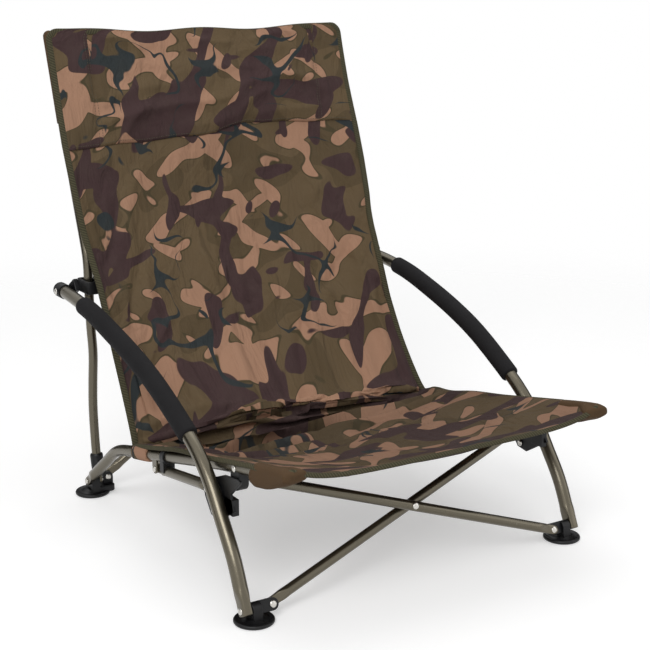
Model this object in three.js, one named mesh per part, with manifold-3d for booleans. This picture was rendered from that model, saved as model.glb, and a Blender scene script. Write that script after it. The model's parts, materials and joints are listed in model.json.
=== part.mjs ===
// Low folding fishing chair: a bundle-folding steel tube frame with a slung fabric seat and back.
// Millimetres, +Z up, the chair faces -Y and stands on its four round feet at Z = 0.
// Lengths along Y count from midway between the feet, and the whole is then moved by originY,
// which puts the origin under the middle of the chair's overall box.
import * as THREE from "three";
import { mergeVertices } from "three/addons/utils/BufferGeometryUtils.js";
import Module from "manifold-3d";

const wasm = await Module();
wasm.setup();

// Driving dimensions: where the feet, pivots and arms stand
const footHalfSpacing = 290;
const frontPivotY = -303;
const frontPivotZ = 22;
const frontDiscY = -300;
const rearPivotY = 292;
const rearPivotZ = 27;
const rearDiscY = 300;
const armEndY = 322;
const armEndZ = 372;
const originY = 17.3;
const gap = 0.3;
const overrun = 4;

// Tubes
const legRadius = 11;
const railRadius = 9.5;
const uprightRadius = 8;
const crossRadius = 8;
const linkRadius = 7;
const tubeWall = 1.2;
const legOffset = 16;
const armToeOut = 14;
const railFootOffset = 13;
const railInset = 9;
const uprightInset = 3;
const uprightFootInset = 13;
const crossInset = 28;
const frontCrossOffset = 8.5;
const rearCrossNear = 13;
const rearCrossFar = 30.5;

// Flattened tube ends, pins and rivets
const tongueThickness = 6;
const tongueWidth = 15;
const tongueLength = 28;
const tongueClear = 20;
const tongueLeadShare = 0.06;
const uprightLeadShare = 0.03;
const pinRadius = 3;
const pinHole = 3.3;
const headRadius = 5.5;
const headHeight = 2.2;

// Feet
const discRadius = 27;
const discThickness = 7;
const discChamfer = 2;
const blockHalfWidth = 7.7;
const blockRadius = 11;
const lugThickness = 8;
const lugRadius = 9.5;
const lugBaseHeight = 17.5;

// Arm parts
const legSteps = 29;
const foamStartStep = 10;
const foamEndStep = 25;
const foamRadius = 15.5;
const sleeveSlack = 0.8;
const plugRadius = 13;
const plugSlack = 0.8;
const plugLength = 26;
const armOverhang = 12;

// Slider on the back upright
const sliderY = 285;
const sliderZ = 385;
const sliderHeight = 22;
const sliderWall = 5;
const sliderSideGap = 0.4;
const sliderFrontWall = 3;
const sliderFrontSlack = 17;
const sliderRearSlack = 7;
const depthSampleCount = 400;
const earThickness = 8;
const earRadius = 11;
const lobeClearance = 4.5;
const lobeHalfHeight = 9;
const sliderCutHeight = 30;

// Leg bracket and fold link
const bracketPivotY = -165;
const bracketPivotZ = 160;
const bracketThickness = 5.4;
const bracketBlockDepth = 20;
const bracketBossRadius = 10;
const bracketHeightShare = 1.3;
const bracketBlockShare = 0.333;
const bracketRivetY = -187;
const bracketRivetZ = 133;
const linkPivotY = 30;
const linkPivotZ = 130;
const linkInset = 7;
const cheekThickness = 3.7;
const cheekRadius = 8;
const lugHeadroom = 2;

// Seat hub under the side rail
const hubY = -246;
const hubZ = 196;
const hubRadius = 13;
const hubWidth = 17;

// Clip that holds the open link against the rail
const clipY = -5;
const clipLength = 13;
const clipRadius = 12.5;
const clipWall = 1.4;

// Fabric
const fabricThickness = 3;
const layerThickness = 1.6;
const seatInset = 2;
const backOverhang = 6;
const seatHalfWidth = footHalfSpacing - seatInset;
const backHalfWidth = footHalfSpacing + backOverhang;
const pocketWall = 2.2;
const pocketSlack = 1;
const topPocketLength = 150;
const tipPocketLength = 94;
const tabWall = 1.4;
const tabStartY = 104;
const tabEndY = 52;
const creaseY = 112;
const creaseZ = 152;
const seatFrontY = -385;
const seatFrontZ = 262;
const backTopY = 405;
const backTopZ = 812;
const layerSeamShare = 0.72;
const layerWidthShare = 0.985;
const pocketCutShare = 1.03;
const pocketEdgeShare = 1.005;
const pocketCutHeight = 36;
const layerPuff = 2;
const layerLean = 0.34;
const sheetColumns = 18;
const seatRows = 18;
const backRows = 20;
const layerRows = 5;

const colours = {
  tube: 0x6b6454,
  plastic: 0x17171a,
  foam: 0x2e2d30,
  rivet: 0xb9b6ae,
  fabric: 0x5d4f38,
  lining: 0x4b3d2c,
};

const group = new THREE.Group();
const axisX = new THREE.Vector3(1, 0, 0);
const axisY = new THREE.Vector3(0, 1, 0);
const axisZ = new THREE.Vector3(0, 0, 1);

function finish(kind) {
  const metal = kind === "tube" || kind === "rivet";
  return new THREE.MeshStandardMaterial({
    color: colours[kind],
    roughness: metal ? 0.35 : 0.85,
    metalness: metal ? 0.9 : 0,
  });
}

function addPiece(name, kind, geometry) {
  const mesh = new THREE.Mesh(geometry, finish(kind));
  mesh.name = name;
  group.add(mesh);
}

function point(x, y, z) {
  return new THREE.Vector3(x, y, z);
}

// Solids that are joined or cut
function toSolid(geometry) {
  const bare = geometry.index ? geometry.toNonIndexed() : geometry.clone();
  bare.deleteAttribute("normal");
  bare.deleteAttribute("uv");
  const merged = mergeVertices(bare, 1e-3);
  return new wasm.Manifold(
    new wasm.Mesh({
      numProp: 3,
      vertProperties: new Float32Array(merged.attributes.position.array),
      triVerts: new Uint32Array(merged.index.array),
    }),
  );
}

function toGeometry(solid) {
  const mesh = solid.getMesh();
  const geometry = new THREE.BufferGeometry();
  geometry.setAttribute("position", new THREE.BufferAttribute(new Float32Array(mesh.vertProperties), 3));
  geometry.setIndex(new THREE.BufferAttribute(new Uint32Array(mesh.triVerts), 1));
  geometry.computeVertexNormals();
  return geometry;
}

function join(...geometries) {
  return toGeometry(geometries.map(toSolid).reduce((sum, next) => sum.add(next)));
}

function cut(geometry, ...tools) {
  return toGeometry(tools.map(toSolid).reduce((rest, next) => rest.subtract(next), toSolid(geometry)));
}

function circle(radius, sides) {
  const shape = new THREE.Shape();
  for (let i = 0; i < sides; i++) {
    const turn = (2 * Math.PI * (i + 0.5)) / sides;
    if (i === 0) {
      shape.moveTo(radius * Math.cos(turn), radius * Math.sin(turn));
    } else {
      shape.lineTo(radius * Math.cos(turn), radius * Math.sin(turn));
    }
  }
  shape.closePath();
  return shape;
}

// A hollow round tube along a curve, open at both ends
function hollowTube(curve, radius, wall, steps, sides = 10) {
  const shape = circle(radius, sides);
  shape.holes.push(circle(radius - wall, sides - 2));
  return new THREE.ExtrudeGeometry(shape, { steps, extrudePath: curve });
}

function rod(curve, radius, steps, sides = 16) {
  return new THREE.ExtrudeGeometry(circle(radius, sides), { steps, extrudePath: curve });
}

function smooth(points) {
  return new THREE.CatmullRomCurve3(points, false, "centripetal");
}

// Sets a geometry built along local Z onto an axis, with local X turned to a side direction
function place(geometry, at, axis, side) {
  const z = axis.clone().normalize();
  const x = side.clone().addScaledVector(z, -side.dot(z)).normalize();
  const y = new THREE.Vector3().crossVectors(z, x);
  return geometry.applyMatrix4(new THREE.Matrix4().makeBasis(x, y, z).setPosition(at));
}

function sideOf(axis) {
  return Math.abs(axis.x) > Math.abs(axis.y) ? axisY : axisX;
}

function cylinder(at, axis, radius, length, sides = 14) {
  const body = new THREE.CylinderGeometry(radius, radius, length, sides);
  body.rotateX(Math.PI / 2);
  return place(body, at, axis, sideOf(axis));
}

function box(low, high) {
  const body = new THREE.BoxGeometry(high.x - low.x, high.y - low.y, high.z - low.z);
  body.translate((low.x + high.x) / 2, (low.y + high.y) / 2, (low.z + high.z) / 2);
  return body;
}

function boxBetween(xs, ys, zs) {
  return box(
    point(Math.min(...xs), Math.min(...ys), Math.min(...zs)),
    point(Math.max(...xs), Math.max(...ys), Math.max(...zs)),
  );
}

// A flat bar with one round end on its pivot, lying across the pin axis
function roundBar(at, pinAxis, along, width, length, thickness) {
  const shape = new THREE.Shape();
  shape.moveTo(length, -width / 2);
  shape.lineTo(length, width / 2);
  shape.lineTo(0, width / 2);
  shape.absarc(0, 0, width / 2, Math.PI / 2, (3 * Math.PI) / 2, false);
  shape.closePath();
  const bar = new THREE.ExtrudeGeometry(shape, { depth: thickness, bevelEnabled: false, curveSegments: 5 });
  bar.translate(0, 0, -thickness / 2);
  return place(bar, at, pinAxis, along);
}

function tongue(at, pinAxis, along) {
  return roundBar(at, pinAxis, along, tongueWidth, tongueLength, tongueThickness);
}

function pinBore(at, axis, length) {
  return cylinder(at, axis, pinHole, length + 2 * overrun, 8);
}

// A domed rivet from one face to another; the shank's far end has a head too unless it is blind
function rivet(from, to, blind = false) {
  const axis = to.clone().sub(from);
  const length = axis.length();
  const dome = pinRadius;
  const points = [
    [0, -headHeight],
    [dome, -headHeight],
    [headRadius, -headHeight / 2],
    [headRadius, 0],
    [pinRadius, 0],
    [pinRadius, length],
  ];
  if (!blind) {
    points.push([headRadius, length], [headRadius, length + headHeight / 2], [dome, length + headHeight]);
    points.push([0, length + headHeight]);
  } else {
    points.push([0, length]);
  }
  const body = new THREE.LatheGeometry(points.map(([r, h]) => new THREE.Vector2(r, h)), 8);
  body.rotateX(Math.PI / 2);
  return place(body, from, axis, sideOf(axis));
}

// Pivots of the folding frame, seen from the side
const hubDirection = point(0, hubY - frontPivotY, hubZ - frontPivotZ).normalize();
const frontNormal = new THREE.Vector3().crossVectors(axisX, hubDirection);
const sliderDirection = point(0, sliderY - rearPivotY, sliderZ - rearPivotZ).normalize();
const rearNormal = new THREE.Vector3().crossVectors(sliderDirection, axisX);

const legX = footHalfSpacing + legOffset;
const railX = footHalfSpacing - railInset;
const uprightX = footHalfSpacing - uprightInset;
const crossX = footHalfSpacing - crossInset;
const linkX = footHalfSpacing - linkInset;
const outerTongueX = footHalfSpacing + blockHalfWidth + gap + tongueThickness / 2;
const innerTongueX = footHalfSpacing - blockHalfWidth - gap - tongueThickness / 2;

// Centre lines: shares of the way across the toe-out, from front pivot to arm end, and up
const legShares = [
  [0, 0.004, 0.052],
  [0, 0.05, 0.189],
  [0, 0.107, 0.331],
  [0, 0.165, 0.466],
  [0, 0.232, 0.571],
  [0.1, 0.298, 0.643],
  [0.35, 0.435, 0.769],
  [0.55, 0.55, 0.846],
  [0.75, 0.672, 0.909],
  [0.9, 0.789, 0.96],
  [1, 0.904, 0.989],
  [1, 1, 1],
];

function legPath(side) {
  const points = legShares.map(([toe, along, up]) =>
    point(
      side * (legX + toe * armToeOut),
      frontPivotY + along * (armEndY - frontPivotY),
      frontPivotZ + up * (armEndZ - frontPivotZ),
    ),
  );
  points.push(point(side * (legX + armToeOut), armEndY + armOverhang, armEndZ));
  return smooth(points);
}

// Shares of the way from the rear pivot to the seat's front edge, and of the rail's rise
const railShares = [
  [0.026, 0.068, 1],
  [0.098, 0.241, 0.95],
  [0.165, 0.389, 0.85],
  [0.24, 0.459, 0.75],
  [0.345, 0.523, 0.4],
  [0.54, 0.664, 0.05],
  [0.69, 0.773, 0],
  [0.81, 0.85, 0],
  [0.92, 0.92, 0],
  [1, 0.965, 0],
];

function railPath(side) {
  const foot = footHalfSpacing + railFootOffset;
  return smooth(
    railShares.map(([along, up, outward]) =>
      point(
        side * (railX + outward * (foot - railX)),
        rearPivotY + along * (seatFrontY - rearPivotY),
        rearPivotZ + up * (seatFrontZ - railRadius - rearPivotZ),
      ),
    ),
  );
}

// Shares of the way from the rear pivot to the top of the back, sideways, rearward and up
const uprightShares = [
  [0, 0.055, 0.025],
  [0.1, 0.105, 0.05],
  [0.2, 0.12, 0.1],
  [0.3, 0.118, 0.17],
  [0.4, 0.065, 0.228],
  [0.55, -0.02, 0.3],
  [0.9, -0.05, 0.365],
  [1, -0.056, 0.456],
  [1, -0.04, 0.513],
  [1, 0.056, 0.56],
  [1, 0.175, 0.608],
  [1, 0.367, 0.688],
  [1, 0.597, 0.78],
  [1, 0.822, 0.884],
  [1, 1.04, 0.983],
];

function uprightPath(side) {
  const foot = footHalfSpacing - uprightFootInset;
  return smooth(
    uprightShares.map(([outward, back, up]) =>
      point(
        side * (foot + outward * (uprightX - foot)),
        rearPivotY + back * (backTopY + uprightRadius - rearPivotY),
        rearPivotZ + up * (backTopZ - rearPivotZ),
      ),
    ),
  );
}

// Leg and arm tube, with its foam grip, end plug and bracket
function legTube(side) {
  const path = legPath(side);
  const pivot = point(side * outerTongueX, frontPivotY, frontPivotZ);
  const along = path.getPoint(tongueLeadShare).sub(path.getPoint(0));
  const tube = join(hollowTube(path, legRadius, tubeWall, legSteps), tongue(pivot, axisX, along));
  const armEnd = point(side * (legX + armToeOut), armEndY, armEndZ);
  return cut(tube, pinBore(pivot, axisX, tongueThickness), pinBore(armEnd, axisX, 2 * legRadius));
}

class CurveStretch extends THREE.Curve {
  constructor(curve, start, end) {
    super();
    this.curve = curve;
    this.start = start;
    this.end = end;
  }

  getPoint(t, target = new THREE.Vector3()) {
    return this.curve.getPointAt(this.start + t * (this.end - this.start), target);
  }
}

// The foam's rings stand on the tube's own rings
function foamGrip(side) {
  const stretch = new CurveStretch(legPath(side), foamStartStep / legSteps, foamEndStep / legSteps);
  return hollowTube(stretch, foamRadius, foamRadius - legRadius - sleeveSlack, foamEndStep - foamStartStep, 12);
}

function endPlug(side) {
  const bore = legRadius + plugSlack;
  const profile = [
    [bore, 0],
    [plugRadius, 0],
    [plugRadius, plugLength - discChamfer],
    [plugRadius - discChamfer, plugLength],
    [0, plugLength],
    [0, plugLength - plugRadius + legRadius],
    [bore, plugLength - plugRadius + legRadius],
    [bore, 0],
  ].map(([r, h]) => new THREE.Vector2(r, h));
  const cap = new THREE.LatheGeometry(profile, 14);
  cap.rotateX(Math.PI / 2);
  const start = armEndY + armOverhang + gap + plugRadius - legRadius - plugLength;
  const mouth = point(side * (legX + armToeOut), start, armEndZ);
  place(cap, mouth, axisY, axisX);
  const armEnd = point(side * (legX + armToeOut), armEndY, armEndZ);
  return cut(cap, pinBore(armEnd, axisX, 2 * plugRadius));
}

const bracketOutlineShares = [
  [0.12, 0.15],
  [0.06, -0.35],
  [-0.17, -1.0],
  [-0.45, -1.1],
  [-0.83, -0.75],
  [-1.03, -0.45],
  [-1.0, 0.05],
  [-0.75, 0.35],
  [-0.2, 0.5],
  [0.06, 0.38],
];

function yzPlate(outline, xLow, xHigh) {
  const shape = new THREE.Shape(outline.map(([y, z]) => new THREE.Vector2(y, z)));
  const plate = new THREE.ExtrudeGeometry(shape, { depth: xHigh - xLow, bevelEnabled: false });
  return plate.applyMatrix4(new THREE.Matrix4().makeBasis(axisY, axisZ, axisX).setPosition(point(xLow, 0, 0)));
}

function legBracket(side) {
  const reach = hubY - bracketPivotY;
  const drop = bracketPivotZ - bracketRivetZ;
  const outer = legX - legRadius - gap;
  const outline = bracketOutlineShares.map(([along, up]) => [
    bracketPivotY - along * reach,
    bracketPivotZ + up * drop * bracketHeightShare,
  ]);
  const ends = [side * outer, side * (outer - bracketThickness)].sort((a, b) => a - b);
  const plate = yzPlate(outline, ...ends);
  const pivot = point(side * outer, bracketPivotY, bracketPivotZ);
  const bossInner = linkX + tongueThickness / 2 + gap;
  const boss = cylinder(
    point((side * (outer + bossInner)) / 2, bracketPivotY, bracketPivotZ),
    axisX,
    bracketBossRadius,
    outer - bossInner,
  );
  const block = boxBetween(
    [side * outer, side * (outer - bracketBlockDepth)],
    [hubY + hubRadius / 2, hubY + 2 * hubRadius],
    [bracketPivotZ - drop, bracketPivotZ + drop * bracketBlockShare],
  );
  const low = point(side * outer, bracketRivetY, bracketRivetZ);
  const bore = 2 * bracketThickness;
  return cut(join(plate, boss, block), pinBore(pivot, axisX, bore), pinBore(low, axisX, bore));
}

// Front foot: round sole, block for the leg's pin and lug for the cross tube's pin
function soleDisc(side, y) {
  const profile = [
    [0, 0],
    [discRadius - discChamfer / 2, 0],
    [discRadius, discChamfer],
    [discRadius, discThickness - discChamfer],
    [discRadius - discChamfer, discThickness],
    [0, discThickness],
  ].map(([r, h]) => new THREE.Vector2(r, h));
  const disc = new THREE.LatheGeometry(profile, 28);
  disc.rotateX(Math.PI / 2);
  return disc.translate(side * footHalfSpacing, y, 0);
}

function pedestal(side, y, z) {
  const centre = point(side * footHalfSpacing, y, z);
  const low = point(centre.x - blockHalfWidth, y - blockRadius, discThickness / 2);
  const high = point(centre.x + blockHalfWidth, y + blockRadius, z);
  return join(cylinder(centre, axisX, blockRadius, 2 * blockHalfWidth, 18), box(low, high));
}

function frontFoot(side) {
  const lugPivot = point(side * crossX, frontPivotY, frontPivotZ);
  const outward = point(side, 0, 0);
  const lug = roundBar(lugPivot, frontNormal, outward, 2 * lugRadius, crossInset, lugThickness);
  const legPin = point(side * footHalfSpacing, frontPivotY, frontPivotZ);
  const body = join(soleDisc(side, frontDiscY), pedestal(side, frontPivotY, frontPivotZ), lug);
  return cut(body, pinBore(legPin, axisX, crossInset), pinBore(lugPivot, frontNormal, lugThickness));
}

function frontLegRivet(side) {
  const outer = outerTongueX + tongueThickness / 2 + gap;
  const inner = footHalfSpacing - blockHalfWidth;
  return rivet(
    point(side * outer, frontPivotY, frontPivotZ),
    point(side * inner, frontPivotY, frontPivotZ),
    true,
  );
}

function frontLugRivet(side) {
  const centre = point(side * crossX, frontPivotY, frontPivotZ);
  const near = lugThickness / 2 + gap;
  const far = near + tongueThickness + gap;
  return rivet(
    centre.clone().addScaledVector(frontNormal, side < 0 ? near : far),
    centre.clone().addScaledVector(frontNormal, side < 0 ? -far : -near),
  );
}

// Rear foot: its lug stands behind the pin, in the plane of the cross tube it carries
function rearPlane(side) {
  return side < 0 ? rearCrossNear : rearCrossFar;
}

function rearFoot(side) {
  const plane = rearPlane(side) - tongueThickness / 2 - gap - lugThickness / 2;
  const pivot = point(side * crossX, rearPivotY, rearPivotZ).addScaledVector(rearNormal, plane);
  const down = sliderDirection.clone().negate();
  const lug = roundBar(pivot, rearNormal, down, 2 * lugRadius, rearPivotZ - discThickness, lugThickness);
  const base = boxBetween(
    [side * (footHalfSpacing + blockHalfWidth), side * (crossX - lugRadius)],
    [rearPivotY - blockRadius, rearPivotY + rearCrossFar - tongueThickness / 2 - gap],
    [discThickness / 2, lugBaseHeight],
  );
  const pin = point(side * footHalfSpacing, rearPivotY, rearPivotZ);
  const body = join(soleDisc(side, rearDiscY), pedestal(side, rearPivotY, rearPivotZ), lug, base);
  return cut(body, pinBore(pin, axisX, 2 * blockHalfWidth), pinBore(pivot, rearNormal, lugThickness));
}

function rearFrameRivet(side) {
  const outer = outerTongueX + tongueThickness / 2 + gap;
  const inner = innerTongueX - tongueThickness / 2 - gap;
  return rivet(
    point(side * outer, rearPivotY, rearPivotZ),
    point(side * inner, rearPivotY, rearPivotZ),
  );
}

function rearLugRivet(side) {
  const centre = point(side * crossX, rearPivotY, rearPivotZ);
  const back = rearPlane(side) + tongueThickness / 2 + gap;
  const front = back - tongueThickness - lugThickness - 3 * gap;
  return rivet(
    centre.clone().addScaledVector(rearNormal, back),
    centre.clone().addScaledVector(rearNormal, front),
  );
}

// Back upright, slider and arm end pivot
function uprightTube(side) {
  const path = uprightPath(side);
  const pivot = point(side * innerTongueX, rearPivotY, rearPivotZ);
  const along = path.getPoint(uprightLeadShare).sub(pivot);
  const tube = join(hollowTube(path, uprightRadius, tubeWall, 28), tongue(pivot, axisX, along));
  return cut(tube, pinBore(pivot, axisX, tongueThickness));
}

// Where the upright's centre line runs, front to back, along the height of the slider
function uprightDepths(side) {
  const reach = sliderHeight / 2 + uprightRadius;
  return uprightPath(side)
    .getSpacedPoints(depthSampleCount)
    .filter((at) => Math.abs(at.z - sliderZ) < reach)
    .map((at) => at.y);
}

function armSlider(side) {
  const halfHeight = sliderHeight / 2;
  const halfBore = uprightRadius + sliderSideGap;
  const outer = uprightX + halfBore + sliderWall;
  const inner = uprightX - halfBore - sliderWall;
  const depths = uprightDepths(side);
  const front = Math.min(...depths) - uprightRadius - sliderFrontSlack;
  const back = Math.max(...depths) + uprightRadius + sliderRearSlack;
  const low = sliderZ - halfHeight;
  const high = sliderZ + halfHeight;
  const block = boxBetween(
    [side * outer, side * inner],
    [front - sliderFrontWall, back + sliderWall],
    [low, high],
  );
  const bore = boxBetween(
    [side * (uprightX - halfBore), side * (uprightX + halfBore)],
    [front, back],
    [low - overrun, high + overrun],
  );
  const earOuter = legX + armToeOut - plugRadius - gap;
  const armEnd = point(side * (earOuter - earThickness / 2), armEndY, armEndZ);
  const towardsBlock = point(0, back - armEndY, sliderZ - armEndZ);
  const ear = roundBar(armEnd, axisX, towardsBlock, 2 * earRadius, towardsBlock.length(), earThickness);
  const lobeBack = sliderY + (side < 0 ? rearCrossFar : rearCrossNear) - tongueThickness / 2 - lobeClearance;
  const lobe = boxBetween(
    [side * (inner + sliderWall / 2), side * (crossX - pinRadius)],
    [sliderY, lobeBack],
    [sliderZ - lobeHalfHeight, sliderZ + lobeHalfHeight],
  );
  const cloth = backSheet(sliderCutHeight, -fabricThickness, pocketCutShare);
  return cut(join(block, ear, lobe), bore, cloth, pinBore(armEnd, axisX, earThickness));
}

function armEndRivet(side) {
  const outer = legX + armToeOut + plugRadius + gap;
  const inner = legX + armToeOut - plugRadius - earThickness - 2 * gap;
  return rivet(point(side * outer, armEndY, armEndZ), point(side * inner, armEndY, armEndZ));
}

// Side rail with its hub, clip, lug and fabric tab
function railPointAt(side, y) {
  const path = railPath(side);
  let low = 0;
  let high = 1;
  for (let i = 0; i < 40; i++) {
    const middle = (low + high) / 2;
    if (path.getPointAt(middle).y > y) {
      low = middle;
    } else {
      high = middle;
    }
  }
  return low;
}

function railTube(side) {
  const path = railPath(side);
  const pivot = point(side * outerTongueX, rearPivotY, rearPivotZ);
  const along = path.getPoint(tongueLeadShare).sub(pivot);
  const tube = join(hollowTube(path, railRadius, tubeWall, 24), tongue(pivot, axisX, along));
  const hubPin = path.getPointAt(railPointAt(side, hubY));
  return cut(tube, pinBore(pivot, axisX, tongueThickness), pinBore(hubPin, axisX, 2 * railRadius));
}

function railClearance(side) {
  return rod(railPath(side), railRadius + gap, 60, 20);
}

function seatHub(side) {
  const centre = point(side * railX, hubY, hubZ);
  const path = railPath(side);
  const onRail = path.getPointAt(railPointAt(side, hubY));
  const saddle = boxBetween(
    [side * (railX - hubWidth / 2), side * (railX + hubWidth / 2)],
    [hubY - hubRadius, hubY + hubRadius],
    [hubZ, onRail.z],
  );
  return cut(join(cylinder(centre, axisX, hubRadius, hubWidth, 20), saddle), railClearance(side));
}

function railRivet(side) {
  const path = railPath(side);
  const centre = path.getPointAt(railPointAt(side, hubY));
  const outer = centre.clone().setX(side * (railX + railRadius + gap));
  const inner = centre.clone().setX(side * (railX - railRadius / 2));
  return rivet(outer, inner, true);
}

function linkLine(side) {
  const start = point(side * linkX, bracketPivotY, bracketPivotZ);
  const end = point(side * linkX, linkPivotY, linkPivotZ);
  return new THREE.LineCurve3(start, end);
}

function linkTube(side) {
  const line = linkLine(side);
  const along = line.getTangent(0);
  const start = line.v1.clone().addScaledVector(along, tongueClear);
  const end = line.v2.clone().addScaledVector(along, -tongueClear);
  const tube = hollowTube(new THREE.LineCurve3(start, end), linkRadius, tubeWall, 1);
  const body = join(tube, tongue(line.v1, axisX, along), tongue(line.v2, axisX, along.clone().negate()));
  return cut(body, pinBore(line.v1, axisX, tongueThickness), pinBore(line.v2, axisX, tongueThickness));
}

function railClip(side) {
  const path = railPath(side);
  const share = railPointAt(side, clipY);
  const at = path.getPointAt(share);
  const along = path.getTangentAt(share);
  const line = linkLine(side);
  const reach = (clipY - bracketPivotY) / (linkPivotY - bracketPivotY);
  const onLink = line.getPoint(reach);
  const sleeve = cylinder(at, along, clipRadius, clipLength, 20);
  const saddle = boxBetween(
    [side * (linkX - linkRadius - clipWall), side * (linkX + linkRadius + clipWall)],
    [clipY - clipLength / 2, clipY + clipLength / 2],
    [onLink.z, at.z],
  );
  const openLink = rod(new THREE.LineCurve3(line.v1, line.v2), linkRadius + gap, 1, 20);
  return cut(join(sleeve, saddle), railClearance(side), openLink);
}

function linkLug(side) {
  const halfTongue = tongueThickness / 2 + gap;
  const half = halfTongue + cheekThickness;
  const body = boxBetween(
    [side * (linkX - half), side * (linkX + half)],
    [linkPivotY - cheekRadius, linkPivotY + cheekRadius],
    [linkPivotZ - cheekRadius, linkPivotZ + 2 * cheekRadius],
  );
  const slot = boxBetween(
    [side * (linkX - halfTongue), side * (linkX + halfTongue)],
    [linkPivotY - 2 * cheekRadius, linkPivotY + 2 * cheekRadius],
    [linkPivotZ - 2 * cheekRadius, linkPivotZ + tongueWidth / 2 + lugHeadroom],
  );
  const pivot = point(side * linkX, linkPivotY, linkPivotZ);
  return cut(body, slot, railClearance(side), pinBore(pivot, axisX, 2 * half));
}

// Rivet of the rail's lug, set blind in its outer cheek
function lugRivet(side) {
  const half = tongueThickness / 2 + gap + cheekThickness + gap;
  const face = point(side * (linkX + half), linkPivotY, linkPivotZ);
  return rivet(face, face.clone().setX(face.x - side * cheekThickness), true);
}

function bracketPivotRivet(side) {
  const outer = legX - legRadius;
  const inner = linkX - tongueThickness / 2 - gap;
  return rivet(
    point(side * outer, bracketPivotY, bracketPivotZ),
    point(side * inner, bracketPivotY, bracketPivotZ),
  );
}

function bracketLowRivet(side) {
  const outer = legX - legRadius;
  const inner = outer - bracketThickness - 2 * gap;
  return rivet(
    point(side * outer, bracketRivetY, bracketRivetZ),
    point(side * inner, bracketRivetY, bracketRivetZ),
  );
}

// Cross tubes: straight bars with flattened ends, riveted in the middle
function crossTube(from, to, normal, shift) {
  const along = to.clone().sub(from).normalize();
  const start = from.clone().addScaledVector(along, tongueClear);
  const end = to.clone().addScaledVector(along, -tongueClear);
  const body = join(
    hollowTube(new THREE.LineCurve3(start, end), crossRadius, tubeWall, 1),
    tongue(from.clone().addScaledVector(normal, shift), normal, along),
    tongue(to.clone().addScaledVector(normal, shift), normal, along.clone().negate()),
  );
  const middle = from.clone().lerp(to, 0.5);
  return cut(
    body,
    pinBore(from, normal, 2 * crossRadius),
    pinBore(to, normal, 2 * crossRadius),
    pinBore(middle, normal, 2 * crossRadius),
  );
}

function frontCross(side) {
  const offset = side * frontCrossOffset;
  const from = point(side * crossX, frontPivotY, frontPivotZ).addScaledVector(frontNormal, offset);
  const to = point(-side * crossX, hubY, hubZ).addScaledVector(frontNormal, offset);
  const seat = lugThickness / 2 + gap + tongueThickness / 2;
  return crossTube(from, to, frontNormal, side * (seat - frontCrossOffset));
}

function rearCross(side) {
  const from = point(side * crossX, rearPivotY, rearPivotZ).addScaledVector(rearNormal, rearPlane(side));
  const to = point(-side * crossX, sliderY, sliderZ).addScaledVector(rearNormal, rearPlane(side));
  return crossTube(from, to, rearNormal, 0);
}

function frontCrossRivet() {
  const middle = point(0, (frontPivotY + hubY) / 2, (frontPivotZ + hubZ) / 2);
  const reach = frontCrossOffset + crossRadius + gap;
  return rivet(
    middle.clone().addScaledVector(frontNormal, reach),
    middle.clone().addScaledVector(frontNormal, -reach),
  );
}

function rearCrossRivet() {
  const middle = point(0, (rearPivotY + sliderY) / 2, (rearPivotZ + sliderZ) / 2);
  const front = rearCrossNear - crossRadius - gap;
  const back = rearCrossNear + crossRadius;
  return rivet(
    middle.clone().addScaledVector(rearNormal, front),
    middle.clone().addScaledVector(rearNormal, back),
    true,
  );
}

// Fabric: a sheet given by a function of two shares, from one height over it to another
function sheet(surface, columns, rows, over, under) {
  const step = 1e-3;
  const positions = [];
  const indices = [];
  const count = (columns + 1) * (rows + 1);
  for (const height of [over, under]) {
    for (let j = 0; j <= rows; j++) {
      for (let i = 0; i <= columns; i++) {
        const u = (2 * i) / columns - 1;
        const v = j / rows;
        const across = surface(u + step, v).sub(surface(u - step, v));
        const along = surface(u, v + step).sub(surface(u, v - step));
        const normal = across.cross(along).normalize();
        const p = surface(u, v).addScaledVector(normal, height);
        positions.push(p.x, p.y, p.z);
      }
    }
  }
  const row = columns + 1;
  for (let j = 0; j < rows; j++) {
    for (let i = 0; i < columns; i++) {
      const a = j * row + i;
      const b = a + 1;
      const c = a + row + 1;
      const d = a + row;
      indices.push(a, b, c, a, c, d);
      indices.push(a + count, c + count, b + count, a + count, d + count, c + count);
    }
  }
  const rim = [];
  for (let i = 0; i < columns; i++) {
    rim.push(i);
  }
  for (let j = 0; j < rows; j++) {
    rim.push(j * row + columns);
  }
  for (let i = columns; i > 0; i--) {
    rim.push(rows * row + i);
  }
  for (let j = rows; j > 0; j--) {
    rim.push(j * row);
  }
  rim.forEach((a, k) => {
    const b = rim[(k + 1) % rim.length];
    indices.push(a, a + count, b + count, a, b + count, b);
  });
  const geometry = new THREE.BufferGeometry();
  geometry.setAttribute("position", new THREE.BufferAttribute(new Float32Array(positions), 3));
  geometry.setIndex(indices);
  return geometry;
}

// Seat edge above the rail: shares along the seat, and up from the crease to the front edge
const seatEdgeShares = [
  [0, 0],
  [0.11, 0.12],
  [0.22, 0.25],
  [0.34, 0.39],
  [0.51, 0.53],
  [0.67, 0.68],
  [0.83, 0.83],
  [1, 1],
];

// Back edge: shares rearward and up from the crease to the top of the back
const backEdgeShares = [
  [0, 0],
  [0.055, 0.04],
  [0.17, 0.123],
  [0.315, 0.235],
  [0.443, 0.352],
  [0.585, 0.468],
  [0.635, 0.532],
  [0.715, 0.626],
  [0.81, 0.732],
  [0.9, 0.838],
  [0.992, 0.975],
  [1.0, 1.0],
];

function edgeCurve(shares, startY, startZ, endY, endZ) {
  return smooth(shares.map(([y, z]) => point(0, startY + y * (endY - startY), startZ + z * (endZ - startZ))));
}

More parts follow.
